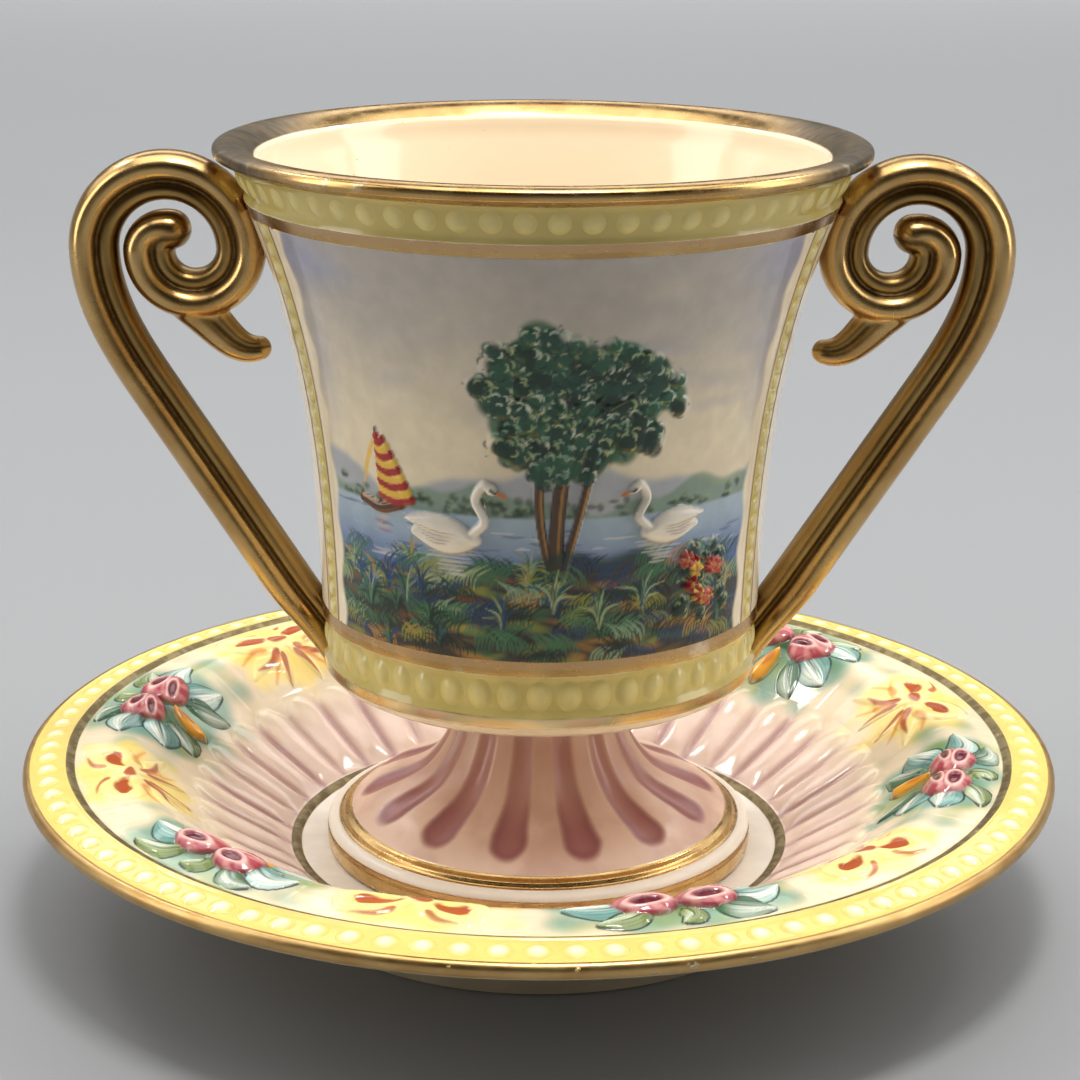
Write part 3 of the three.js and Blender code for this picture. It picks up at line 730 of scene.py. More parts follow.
# %% Groups of geometry nodes
def nodes_group(name, inputs):
    """A Geometry Nodes group with a geometry going in and out and some named inputs."""
    group = bpy.data.node_groups.new(name, "GeometryNodeTree")
    group.interface.new_socket("Geometry", in_out="INPUT", socket_type="NodeSocketGeometry")
    for label, kind in inputs:
        group.interface.new_socket(label, in_out="INPUT", socket_type=kind)
    group.interface.new_socket("Geometry", in_out="OUTPUT", socket_type="NodeSocketGeometry")
    return group


def input_wires(group):
    """The group's inputs as wires, by name."""
    start = group.nodes.new("NodeGroupInput")
    return {socket.name: Wire(group, socket) for socket in start.outputs if socket.name}


def grown(piece, group, settings):
    """Runs a group on a piece with its inputs set and gives back the plain mesh."""
    modifier = piece.modifiers.new(group.name, "NODES")
    modifier.node_group = group
    names = {s.name: s.identifier for s in group.interface.items_tree if s.in_out == "INPUT"}
    for name, value in settings.items():
        modifier[names[name]] = value
    bpy.context.view_layer.update()
    solved = piece.evaluated_get(bpy.context.evaluated_depsgraph_get())
    mesh = bpy.data.meshes.new_from_object(solved)
    piece.modifiers.remove(modifier)
    old = piece.data
    piece.data = mesh
    bpy.data.meshes.remove(old)
    mesh.shade_smooth()
    return piece


def end_group(group, geometry, finish):
    """Ends a group: its copies become plain points, with their material on them."""
    real = geometry.node("GeometryNodeRealizeInstances", None, {0: geometry})
    finished = real.node("GeometryNodeSetMaterial", None, {"Geometry": real, "Material": finish})
    end = group.nodes.new("NodeGroupOutput")
    group.links.new(finished.socket, end.inputs[0])
    print(group.name, "has", len(group.nodes), "nodes")

# %% [markdown]
# Pearls run round the saucer's rim and round both ends of the bowl. One pearl is a low dome whose skirt
# runs out flat into the band, as under a thick glaze. The tree takes that one pearl, makes a ring of points
# and puts a copy on each, turned outwards and tilted to its wall, and one tree serves all three rows.

# %% Pearl tree
pearl_rows = nodes_group("pearl_rows", [("Count", "NodeSocketInt"), ("Radius", "NodeSocketFloat"),
                                        ("Height", "NodeSocketFloat"), ("Tilt", "NodeSocketFloat"),
                                        ("Finish", "NodeSocketMaterial")])
given = input_wires(pearl_rows)
tree = given["Geometry"]
circle = tree.node("GeometryNodeMeshCircle", None, {"Vertices": given["Count"], "Radius": given["Radius"]})
raised = tree.node("ShaderNodeCombineXYZ", None, {2: given["Height"]})
lifted = tree.node("GeometryNodeSetPosition", None, {"Geometry": circle, "Offset": raised})
order = tree.node("GeometryNodeInputIndex")
facing = order / given["Count"] * (2 * math.pi)
lean = tree.node("ShaderNodeCombineXYZ", None, {1: given["Tilt"], 2: facing})
copies = tree.node("GeometryNodeInstanceOnPoints", None,
                   {"Points": lifted, "Instance": given["Geometry"], "Rotation": lean})
end_group(pearl_rows, copies, given["Finish"])

# %% [markdown]
# The pearl itself is turned like the saucer, laid on its side and bent to the round of its wall.

# %% Pearls
def pearl(name, across, along, rise, wall_round):
    """One pearl that looks along +X: a dome whose flat skirt follows the wall, closed behind."""
    far = np.array([1.0, 0.92, 0.84, 0.76, 0.68, 0.6, 0.52, 0.44, 0.36, 0.26, 0.16, 0.05])
    dome = rise * (1 - far**2.6) ** 2 - 0.006 * far
    ring = np.concatenate([[0.05, 1.0], far])
    out = np.concatenate([[-0.35, -0.35], dome])
    piece = spun(name, np.column_stack([ring, out]), 20)
    corners = points_of(piece)
    sideways = corners[:, 0] * across
    followed = corners[:, 2] - sideways**2 / (2 * wall_round)
    shaped = np.column_stack([followed, sideways, corners[:, 1] * along]) * MM
    piece.data.vertices.foreach_set("co", shaped.astype(np.float32).ravel())
    return piece


def pearl_row(name, count, radius, height, tilt, size, body, flat, crest):
    """A finished row of pearls, painted paler towards each crest."""
    piece = pearl(name, *size)
    crown = smooth(points_of(piece)[:, 0], 0.1 * size[2], 1.1 * size[2])
    lay_paint(piece, blend(paint(flat), paint(crest), crown))
    settings = {"Count": count, "Radius": radius * MM, "Height": height * MM, "Tilt": tilt}
    settings["Finish"] = painted_glaze
    return dress(grown(piece, pearl_rows, settings), body)


RIM_PEARLS = 96
RIM_PEARL_TILT = -math.pi / 2 + 0.152
pearl_row("rim_pearls", RIM_PEARLS, (BAND_OUTSIDE + BAND_INSIDE) / 2, BAND_SEAT, RIM_PEARL_TILT,
          (1.4, 1.26, 0.24, 360), "saucer", BAND_YELLOW, "fbf2c6")

# %% [markdown]
# Flowers and bows. Each ornament is a thin patch that follows the field and carries relief: its rim dives
# just under the glaze, so only what stands proud is seen. Two roses, a bud and a ring of leaves make a
# spray; the leaves and petals are strokes of the canvas that rise as well as colour.

# %% Flower paints
LEAF_DARK = paint("4b7a55")
LEAF_TEAL = paint("7fb3ab")
LEAF_PALE = paint("eef2e6")
LEAF_OLIVE = paint("94a863")
OUTLINE = paint("1f2d33")
ROSE_RED = paint("ad4a55")
ROSE_DEEP = paint("561628")
ROSE_PALE = paint("e0a39a")
ROSE_LIP_HIGHLIGHT = paint("f3cfc4")
BUD_YELLOW = paint("e8a63a")
BUD_DEEP = paint("b8601c")
print("a leaf's tones:", LEAF_DARK.round(2), LEAF_TEAL.round(2), LEAF_OLIVE.round(2))

# %% [markdown]
# A leaf is one stroke that changes across its width: a shaded side, a pale core on the lit side, fine
# streaks, an ink outline and an ink vein in a crease. Its edge wanders a little from its form, as a
# hand-held brush does.

# %% Leaf
def oval(canvas, centre, size, turn):
    """The points round a place, and how far each lies in an oval: 0 in its middle and 1 on its edge."""
    reach = max(size) * 1.3
    picked = np.flatnonzero((abs(canvas.x - centre[0]) < reach) & (abs(canvas.y - centre[1]) < reach))
    across, up = canvas.x[picked] - centre[0], canvas.y[picked] - centre[1]
    cos, sin = math.cos(turn), math.sin(turn)
    return picked, (across * cos + up * sin) / size[0], (up * cos - across * sin) / size[1]


def leaf(canvas, points, width, tone, pale=0.7, lift=0.42):
    """A leaf along its vein: a dark base, a white core on one side, an ink outline and a soft crease."""
    line = through(points, 6)
    picked, gap, side, along = canvas.near(line, width)
    half = width / 2 * lance(along) + 1e-3
    inside = np.clip((half - gap) / 0.25 + 0.5, 0, 1)
    across = side * gap / half
    core = smooth(along, 0.15, 0.5) * np.exp(-(((across - 0.35) / 0.5) ** 2)) * pale
    shade = smooth(across, 0.2, -0.7) * 0.55 + smooth(along, 0.45, 0.05) * 0.5
    colour = blend(tone * (1 - 0.6 * shade[:, None]), LEAF_PALE, core)
    streaks = smooth(np.sin(26 * across + 7 * along + 40 * width), 0.3, 1) * smooth(abs(across), 0.95, 0.6)
    colour = colour * (1 - 0.35 * streaks[:, None])
    canvas.lay(picked, inside * 0.95, colour)
    wander = half * (1.02 + 0.05 * np.sin(9 * along + 3 * side))
    edge = np.clip(1.5 - abs(gap - wander) / 0.12, 0, 1) * smooth(along, 0.05, 0.3) * 0.9
    canvas.lay(picked, edge * (half > 0.15), OUTLINE)
    vein = smooth(gap, 0.2, 0.05) * smooth(along, 0.9, 0.4) * 0.75
    canvas.lay(picked, vein, OUTLINE)
    dome = np.clip(1 - across**2, 0, 1) ** 1.1 - 0.3 * smooth(gap, 0.5, 0)
    raised = lift * dome * smooth(along, 0, 0.2) * (gap < half)
    canvas.height[picked] = np.maximum(canvas.height[picked], raised)


print("a leaf's widths along it:", lance(np.linspace(0, 1, 5)).round(2))

# %% [markdown]
# A rose is a plump oval dome. Two hollows sink into it, each with a swelling lip. A painted highlight pales
# the lips, and the paint darkens in the hollows.

# %% Rose
HOLLOWS = [((-0.08, 0.34), (0.5, 0.25), 0.1), ((0.2, -0.4), (0.5, 0.17), -0.25)]


def rose(canvas, centre, size, turn, lift=1.1):
    """An oval rose: a plump dome of petals whose lips open round two dark hollows."""
    picked, u, v = oval(canvas, centre, size, turn)
    around = np.arctan2(v, u)
    far = np.hypot(u, v) * (1 + 0.05 * np.cos(3 * around + 4 * turn))
    inside = np.clip((1 - far) / 0.08 + 0.5, 0, 1)
    streaks = 0.5 + 0.5 * np.sin(7 * around + 5 * far)
    tone = blend(ROSE_RED, ROSE_PALE, 0.5 * smooth(streaks, 0.3, 1))
    tone = tone * (1 - 0.3 * smooth(far, 0.8, 1.0))[:, None]
    relief = lift * (0.1 + 0.9 * np.sqrt(np.clip(1 - far**2.2, 0, 1)))
    for middle, span, lean in HOLLOWS:
        cos, sin = math.cos(lean), math.sin(lean)
        across, up = u - middle[0], v - middle[1]
        hollow = np.hypot((across * cos + up * sin) / span[0], (up * cos - across * sin) / span[1])
        lip = np.exp(-(((hollow - 1.3) / 0.26) ** 2)) * smooth(far, 1.0, 0.8)
        relief = relief + 0.12 * lip - 0.16 * smooth(hollow, 1.05, 0.6)
        # The pale on each lip is a painted highlight.
        tone = blend(tone, ROSE_LIP_HIGHLIGHT, 0.75 * lip)
        tone = blend(tone, ROSE_DEEP, 0.9 * smooth(hollow, 1.15, 0.75))
    canvas.lay(picked, inside, tone)
    rim = np.clip(1 - abs(far - 1.02) / 0.05, 0, 1) * smooth(np.sin(around * 2 + turn), -0.6, 0.4)
    canvas.lay(picked, rim * 0.6, ROSE_DEEP)
    relief = np.where(far < 1, relief, 0)
    canvas.height[picked] = np.maximum(canvas.height[picked], relief)


print("a rose has", len(HOLLOWS), "hollows")

# %% [markdown]
# A spray is painted from the back: dark dabs, leaves all round, the bud and last the two roses. A seeded
# jog moves every part a little, so no two sprays are alike.

# %% Spray
LEAVES = [((-3.8, 0.5), (-7.0, 1.7), (-10.6, 1.2), 3.9, LEAF_TEAL, 0.95),
          ((-3.4, -1.2), (-6.0, -2.4), (-9.3, -3.2), 3.7, LEAF_TEAL, 0.9),
          ((-2.2, -2.0), (-3.6, -4.2), (-5.8, -6.2), 3.3, LEAF_DARK, 0.6),
          ((-2.8, 2.2), (-5.0, 4.2), (-8.0, 4.7), 3.1, LEAF_OLIVE, 0.6),
          ((3.0, -2.2), (5.0, -4.3), (7.4, -6.0), 3.9, LEAF_DARK, 0.7),
          ((4.8, 0.6), (7.8, 2.3), (10.9, 1.5), 3.8, LEAF_TEAL, 0.95),
          ((4.6, -1.2), (7.4, -2.2), (10.2, -3.6), 3.7, LEAF_TEAL, 0.9),
          ((3.2, 2.3), (5.0, 4.2), (7.8, 4.8), 3.2, LEAF_DARK, 0.7),
          ((0.1, 2.4), (0.4, 4.0), (-1.0, 5.3), 2.6, LEAF_OLIVE, 0.5)]
DABS = [(-5.2, 0.2), (5.6, 0.6), (-1.8, -3.4), (3.4, -3.2),
        (-2.6, 3.0), (2.6, 3.2), (-7.6, -1.0), (8.0, -0.6)]


def bud(canvas, spot):
    """A yellow bud with a brown heart and a calyx drawn round it."""
    petals = [spot + (-0.7, 1.7), spot, spot + (0.7, -2.2)]
    canvas.stroke(petals, 3.2, BUD_YELLOW, 1, tear, soft=0.3, lift=0.9)
    canvas.stroke([spot + (-0.3, 1.2), spot + (0.1, -1.0)], 1.1, BUD_DEEP, 0.7, lance, soft=0.4)
    calyx = [spot + (-1.5, 0.4), spot + (-1.0, -1.6), spot + (0.6, -2.6), spot + (1.9, -1.4)]
    canvas.stroke(calyx, 0.18, OUTLINE, 0.7)
    canvas.stroke([spot + (1.3, 0.9), spot + (2.1, -0.4), spot + (1.9, -1.4)], 0.18, OUTLINE, 0.6)


def spray(canvas, seed):
    """Two roses, a bud and leaves all round, each a little different."""
    random = np.random.default_rng(seed)

    def jog(amount):
        return random.uniform(-amount, amount, 2)

    for spot in DABS:
        tone = (LEAF_OLIVE, LEAF_TEAL, LEAF_DARK)[int(random.integers(3))]
        place = np.array(spot) + jog(0.8)
        canvas.blot(place, random.uniform(2.0, 3.6, 2), tone * 0.9, 0.6, 0.9, random.uniform(0, 3))
    canvas.blot((0.3, 0.2), (6.0, 4.4), LEAF_DARK * 0.7, 0.75, 0.7)
    for start, middle, stop, width, tone, pale in LEAVES:
        moved = [np.array(start), np.array(middle) + jog(0.5), np.array(stop) + jog(0.5)]
        leaf(canvas, moved, width * random.uniform(0.88, 1.1), tone * random.uniform(0.85, 1.12), pale)
    canvas.blot((0.4, -0.2), (2.6, 1.9), LEAF_DARK * 0.35, 0.75, 0.6)
    bud(canvas, np.array([1.0, -3.5]) + jog(0.3))
    for spot, size in (((-3.0, 0.5), (3.3, 2.65)), ((3.3, 0.7), (3.1, 2.5))):
        rose(canvas, np.array(spot) + jog(0.25), size, random.uniform(-0.35, 0.35))


print("a spray has", len(LEAVES), "leaves")

# %% [markdown]
# Between the sprays lie ribbon bows in a soft yellow relief. The folds are quick brick-red marks that
# swell at once and trail off. One half of a bow is the other turned over, with a jog of its own.

# %% Bow
BRICK = paint("a5381f")
BRICK_SOFT = paint("dd7f2e")
RIBBON = paint("f8e9a4")
RIBBON_SHADE = paint("f1cb58")


def fold(along):
    """A brush mark that swells at once and trails off."""
    return np.sqrt(np.clip(along * 7, 0, 1)) * np.clip(1 - along, 0, 1) ** 0.7


def flipped(line, flip):
    """A line, or its mirror image where flip is -1."""
    return np.array(line) * (flip, 1)


def bow(canvas, seed):
    """A ribbon bow: two loops, a knot and waving tails, with brick-red brush marks in the folds."""
    random = np.random.default_rng(seed)
    canvas.blot((0, -0.2), (6.6, 4.6), RIBBON_SHADE, 0.6, 0.9)
    for flip in (1, -1):
        wild = random.uniform(-0.5, 0.5, 8)
        loop = [(0.4, 0.4), (2.2 + wild[0], 2.9), (5.4 + wild[1], 3.5 + wild[2]), (6.2 + wild[1], 1.3),
                (3.4 + wild[3], -0.2), (0.4, -0.1)]
        tail = [(0.4, -0.4), (2.6 + wild[4], -2.3), (5.2 + wild[5], -2.2), (8.4, -3.6)]
        short = [(0.4, -0.4), (1.8, -3.0), (2.8 + wild[6], -5.8)]
        canvas.stroke(flipped(loop, flip), 2.0, RIBBON, 0.55, even, 1.2, 0.3)
        canvas.stroke(flipped(tail, flip), 1.9, RIBBON, 0.5, lance, 1.0, 0.26)
        canvas.stroke(flipped(short, flip), 1.6, RIBBON, 0.5, lance, 0.9, 0.22)
        folds = [([(1.3 + wild[3], 0.7), (3.2, 1.8), (5.3 + wild[1], 1.7)], 2.3, BRICK, 0.92, tear, 0.3),
                 ([(1.2, -0.9), (3.4, -2.4), (6.8 + wild[5], -2.8)], 1.15, BRICK, 0.88, fold, 0.25),
                 ([(0.9, -1.5), (1.9, -3.4), (2.9 + wild[6], -5.6)], 1.0, BRICK, 0.85, fold, 0.25),
                 ([(1.4, 2.7), (2.7, 4.1), (4.9 + wild[0], 4.7)], 0.8, BRICK, 0.8, fold, 0.25),
                 ([(2.9, -0.8), (5.0, -0.5), (8.0 + wild[7], -1.5)], 0.8, BRICK_SOFT, 0.75, fold, 0.4),
                 ([(1.7, -1.8), (3.8, -3.6), (5.4, -4.8)], 0.75, BRICK_SOFT, 0.75, fold, 0.4)]
        for line, width, tone, strength, form, soft in folds:
            canvas.stroke(flipped(line, flip), width, tone, strength, form, soft)
    canvas.stroke([(-1.0, 0.1), (0, 0.3), (1.0, 0.2)], 2.0, RIBBON, 0.6, even, 0.6, 0.4)
    canvas.stroke([(-1.2, 0.1), (0, 0.35), (1.4, 0.6)], 1.7, BRICK, 0.9, tear, 0.3)


print("a fold's widths along it:", fold(np.linspace(0, 1, 5)).round(2))

# %% [markdown]
# A patch is the grid of points that carries one ornament. It follows the gadrooned field below it, stands
# a hair above it inside and dives under it at its rim, and a fan to one deep point closes it.

# %% Ornament patches
TOP_LINE = np.vstack([FIELD, [WELL_EDGE]])[::-1]
PATCH_RIM = 0.8
PATCH_DIP = 0.014
PATCH_STAND = 0.02


def patch_heights(along, out, size, rims=(PATCH_RIM, PATCH_RIM)):
    """The thin lift of a patch over its ground: below it at the rim, a hair above it inside."""
    lift = smooth(size[0] - abs(along), 0, rims[0]) * smooth(size[1] - abs(out), 0, rims[1])
    return lift * (PATCH_STAND + PATCH_DIP) - PATCH_DIP


def grid_quads(number):
    """The four-sided faces of a grid of numbered points."""
    corners = [number[:-1, :-1], number[:-1, 1:], number[1:, 1:], number[1:, :-1]]
    return np.stack(corners, axis=-1).reshape(-1, 4)


def closed_patch(name, grid, deep):
    """A grid of points closed by a fan of faces to one deep point."""
    rows, columns, _ = grid.shape
    number = np.arange(rows * columns).reshape(rows, columns)
    loop = np.concatenate([number[0, :-1], number[:-1, -1], number[-1, :0:-1], number[:0:-1, 0]])
    fan = [(rows * columns, b, a) for a, b in zip(loop.tolist(), np.roll(loop, -1).tolist())]
    points = np.vstack([grid.reshape(-1, 3), [deep]])
    return new_mesh(name, points, grid_quads(number).tolist() + fan)


print("a patch dives", PATCH_DIP, "mm under its ground at its rim")

# %% [markdown]
# On the field a patch works in millimetres along the rim and outwards. Its ground gets the same washes and
# gadroons as the saucer, so that its rim can't be seen.

# %% Sprays and bows
def field_patch(name, degrees, half_width, spacing, decorate, seed):
    """One ornament on the saucer's field, painted and raised."""
    low, high = GADROON_END[0] + 0.55, LINE_INSIDE - 0.05
    around = np.linspace(-half_width, half_width, int(2 * half_width / spacing))
    out = np.linspace(low - SPRAY_RADIUS, high - SPRAY_RADIUS, int((high - low) / spacing))
    out_grid, around_grid = np.meshgrid(out, around)
    angle = math.radians(degrees) + around_grid / SPRAY_RADIUS
    reach = out_grid + SPRAY_RADIUS
    x, y = reach * np.cos(angle), reach * np.sin(angle)
    turn = (angle / (2 * math.pi)) % 1
    ground = gadroon_tint(washes(x.ravel(), y.ravel()), reach.ravel(), turn.ravel())
    canvas = Canvas(around_grid.ravel(), out_grid.ravel(), ground)
    decorate(canvas, seed)
    middle = (high + low) / 2 - SPRAY_RADIUS
    thin = patch_heights(around_grid, out_grid - middle, (half_width, (high - low) / 2))
    fade = smooth(thin, -PATCH_DIP, 0.012)
    level = np.interp(reach, TOP_LINE[:, 0], TOP_LINE[:, 1]) + gadroons(reach, turn)
    grid = np.stack([x, y, level + thin + canvas.height.reshape(reach.shape) * fade], axis=-1)
    across, up = math.cos(math.radians(degrees)), math.sin(math.radians(degrees))
    piece = closed_patch(name, grid[:, ::-1], [SPRAY_RADIUS * across, SPRAY_RADIUS * up, 15.6])
    colours = canvas.colour.reshape(*reach.shape, 3)[:, ::-1].reshape(-1, 3)
    lay_paint(piece, np.vstack([colours, CREAM]))
    return dress(piece, "saucer", painted_glaze)


for k in range(6):
    field_patch(f"rose_spray_{k + 1}", SPRAY_ANGLES[k], 12.2, 0.105, spray, 11 + k)
    field_patch(f"ribbon_bow_{k + 1}", BOW_ANGLES[k], 9.6, 0.12, bow, 31 + k)

# %% [markdown]
# The foot is a hollow trumpet. Fourteen flutes are pressed into it, each with a round lower end where the
# dark pink glaze collects. One formula of the turn and the radius says how deep a place lies in a flute.
# A second Geometry Nodes tree presses the turned trumpet inwards by it, and the foot's glaze uses the same
# formula for its colour.

# %% Flute tree
FLUTE_COUNT = 14
FLUTE_TURN = math.radians(-10.5)
FLUTE_DEPTH = 0.42
FLUTE_END = 20.3
FLUTE_SHARE = 0.62
TRUMPET_LOW = WELL_HEIGHT + 4.1


def hollow(x, y, reach, unit):
    """How far inside a flute a place lies: 1 on its middle line, 0 on its edge and less outside."""
    flute = (x.math("ARCTAN2", y, x) - FLUTE_TURN) * (FLUTE_COUNT / (2 * math.pi))
    across = (flute.math("FRACT", flute) * 2 - 1) / FLUTE_SHARE
    half = reach * (math.pi / FLUTE_COUNT * FLUTE_SHARE)
    past = ((reach - (FLUTE_END * unit - half)) / half).at_least(0)
    return 1 - across * across - past * past


flutes = nodes_group("pressed_flutes", [("Depth", "NodeSocketFloat"), ("Lowest", "NodeSocketFloat"),
                                        ("Finish", "NodeSocketMaterial")])
given = input_wires(flutes)
tree = given["Geometry"]
x, y, z = tree.node("GeometryNodeInputPosition").axes()
reach = (x * x + y * y) ** 0.5
bowed = hollow(x, y, reach, MM).at_least(0) ** 1.7
above_base = z.between(given["Lowest"], given["Lowest"] + 0.4 * MM)
normal = tree.node("GeometryNodeInputNormal")
inwards = 0 - bowed * above_base * given["Depth"]
shift = tree.node("ShaderNodeVectorMath", {"operation": "SCALE"}, {0: normal, "Scale": inwards})
moved = tree.node("GeometryNodeSetPosition", None, {"Geometry": given["Geometry"], "Offset": shift})
end_group(flutes, moved, given["Finish"])

# %% [markdown]
# The foot's glaze is pink and less shiny. It is painted darker towards the neck, as painted shade under the
# bowl. It darkens in the flutes, most of all at their lower ends, and streaks run down it. Below it come a
# gilt line, a white bead and the gilt side of the base.

# %% Foot material
FOOT_LINE_LOW, FOOT_LINE_HIGH = WELL_HEIGHT + 3.1, WELL_HEIGHT + 4.25
foot_glaze = new_material("foot_glaze")
tree, place, split, reach_wire = place_wires(foot_glaze)
ragged = (noise(tree, place, 380, 4) - 0.5) * 0.35
inside = hollow(split[0], split[1], reach_wire, 1) + ragged
low_down = reach_wire.between(9.5, 17)
in_flute = inside.between(0.05, 0.75)
streak = noise(tree, place, 170, 3, (1, 1, 0.4)).between(0.35, 0.7)
# Darker towards the neck, under the bowl: painted shade.
pink = mix(low_down, opaque("d0b09c"), opaque("e6c6b0"))
pink = mix(streak * 0.6, pink, opaque("c29686"))
pink = mix(in_flute * (0.55 + low_down * 0.33), pink, opaque("9c5e60"))
pink = mix(in_flute * inside.between(1.15, 0.5) * low_down * 0.6, pink, opaque("7f3a44"))
heights = split[2]
trumpet = heights.between(FOOT_LINE_HIGH - 0.02, FOOT_LINE_HIGH + 0.05)
colour = mix(trumpet, opaque("efe4d4"), pink)
wobble = heights + (noise(tree, place, 120, 2) - 0.5) * 0.12
gold_side = wobble.between(WELL_HEIGHT + 2.5, WELL_HEIGHT + 2.35) * reach_wire.between(22, 22.4)
seam = reach_wire.between(20.8, 21.1) * reach_wire.between(22.6, 22.4)
gold_line = wobble.band(FOOT_LINE_LOW, FOOT_LINE_HIGH, 0.04) * seam
close_glaze(tree, place, colour, gold_side + gold_line, glaze_roughness=0.3, gold_roughness=0.27)
print("foot glaze has", len(foot_glaze.node_tree.nodes), "nodes")

# %% [markdown]
# The foot itself is turned from its hollow underside, up round the bead and in to the neck, where the bowl
# stands on it. Its columns are a multiple of the flutes, so that every flute gets the same points.

# %% Foot
BEAD_FOOT_INSIDE = FOOT_RADIUS - 1.6
foot_rows = [(0.3, 6.5), (8, 5.95), (15, 4.3), (18.8, 2.0), (19.8, 0.05)]
side = [(20.2, 0.0), (FOOT_RADIUS - 0.5, 0.0), (FOOT_RADIUS - 0.1, 0.25), (FOOT_RADIUS, 0.7),
        (FOOT_RADIUS, 2.2)]
roll = [(FOOT_RADIUS - 0.15, 2.38), (FOOT_RADIUS - 0.05, 2.55), (FOOT_RADIUS - 0.25, 2.95), (23.0, 3.25),
        (BEAD_FOOT_INSIDE + 0.1, 3.3)]
line_rows = [(BEAD_FOOT_INSIDE - 0.1, 3.38), (BEAD_FOOT_INSIDE - 0.3, 3.8), (21.5, 3.95)]
trumpet_rows = [(21.3, 4.0), (18.3, 6.3), (12.6, 9.2), (9.6, 14.2), (9.7, FOOT_HEIGHT)]
rows = np.vstack([through(foot_rows, 3), straight(side, 3), through(roll, 3), straight(line_rows, 3),
                  through(trumpet_rows, 26), [(9.0, FOOT_HEIGHT)], [(0.5, FOOT_HEIGHT)]])
foot = spun("foot_china", rows + (0, WELL_HEIGHT), FLUTE_COUNT * 32)
grown(foot, flutes, {"Depth": FLUTE_DEPTH * MM, "Lowest": TRUMPET_LOW * MM, "Finish": foot_glaze})
dress(foot, "cup", None, "foot")

# %% [markdown]
# The bowl is a bell: nearly straight below, flaring to a rolled lip. Its wall follows one formula, which
# the pearls, the picture and the handles also use. Bands of gold lie above and below both rows of pearls.

# %% Wall formula
FLARE_POWER, TAPER_SHARE = 3, 0.06


def wall_radius(height):
    """Radius of the outer wall at a height over the table."""
    share = np.clip((height - BOWL_BASE) / BOWL_HEIGHT, 0, 1)
    flare = TAPER_SHARE * share + (1 - TAPER_SHARE) * share**FLARE_POWER
    return WALL_BASE_RADIUS + (LIP_RADIUS - WALL_BASE_RADIUS) * flare


print("wall's radius half way up:", round(wall_radius(BOWL_BASE + BOWL_HEIGHT / 2), 2), "mm")

# %% [markdown]
# The bowl's rows climb the outer wall, sink a little under each row of pearls, turn over the lip and go
# down inside to the floor.

# %% Bowl
LOWER_BAND = (28.7, 33.1)
UPPER_BAND = (78.8, 82.7)
PANEL = (34.9, 77.3)
BAND_SINK = 0.4
heights = np.concatenate([np.linspace(27.5, 28.5, 4), np.linspace(*LOWER_BAND, 10),
                          np.linspace(33.3, 34.9, 5), np.linspace(*PANEL, 44)[1:],
                          np.linspace(77.6, 78.6, 4), np.linspace(*UPPER_BAND, 10)])
sink = np.zeros(len(heights))
for low, high in (LOWER_BAND, UPPER_BAND):
    sink += BAND_SINK * smooth(heights, low - 0.05, low + 0.35) * smooth(heights, high + 0.05, high - 0.35)
outer = np.column_stack([wall_radius(heights) - sink, heights])
under = [(0.5, BOWL_BASE), (10.8, BOWL_BASE), (22.2, BOWL_BASE + 1.4), (23.2, BOWL_BASE + 2.0),
         (23.6, BOWL_BASE + 2.5)]
lip = through([(33.35, 82.85), (LIP_RADIUS + 0.3, 83.2), (LIP_RADIUS + LIP_ROLL, 83.75),
               (LIP_RADIUS + 0.2, 84.3), (33.0, BOWL_TOP), (31.6, 84.2), (30.3, 83.3), (29.8, 82.7)], 4)
inside_heights = np.linspace(82.0, 33.6, 34)
inner = np.column_stack([wall_radius(inside_heights) - WALL_THICKNESS, inside_heights])
floor_rows = through([(20.5, 32.2), (19.6, 30.6), (17.6, 29.6), (14.5, 29.3)], 4)
rows = np.vstack([straight(under, 3), outer, lip, inner, floor_rows, [(6, 29.3)], [(0.5, 29.3)]])
bowl = spun("bowl_china", rows, 432)
print("bowl's points:", len(bowl.data.vertices))

# %% [markdown]
# The bowl's glaze is cream with a few specks, painted a little darker inside as painted shade. The bands are
# olive, the upper one darker and greener, partly as painted shade. The gold lies in three rings and on the
# lip, with wavering edges. Next to the picture it is duller and browner. On the left and right of the lip it
# is
# painted grey with scratches: a painted reflection of the grey room.

# %% Bowl material
BAND_OLIVE = "d8c67c"
WALL_CREAM = "f6e8cc"
bowl_glaze = new_material("bowl_glaze")
tree, place, split, reach_wire = place_wires(bowl_glaze)
heights = split[2]
wobble = heights + (noise(tree, place, 70, 3) - 0.5) * 0.3 + (noise(tree, place, 600, 3) - 0.5) * 0.16
wall_here = (heights - BOWL_BASE) / BOWL_HEIGHT
flare = wall_here * TAPER_SHARE + wall_here ** FLARE_POWER * (1 - TAPER_SHARE)
wall_place = reach_wire - flare * (LIP_RADIUS - WALL_BASE_RADIUS)
outside = wall_place.between(WALL_BASE_RADIUS - 1.6, WALL_BASE_RADIUS - 1.3)
low_band = heights.band(LOWER_BAND[0] - 0.1, LOWER_BAND[1] + 0.1)
high_band = heights.band(UPPER_BAND[0], UPPER_BAND[1] + 0.1)
bands = (low_band + high_band) * outside
speck = noise(tree, place, 1400, 2).between(0.74, 0.78)
# Inside the bowl the cream is painted a little darker, as painted shade.
cream = mix(outside, opaque("f0dfc3"), opaque(WALL_CREAM))
cream = mix(speck * 0.5, cream, opaque("8a6f55"))
olive = mix(noise(tree, place, 220, 3).between(0.35, 0.7) * 0.6, opaque(BAND_OLIVE), opaque("c2b062"))
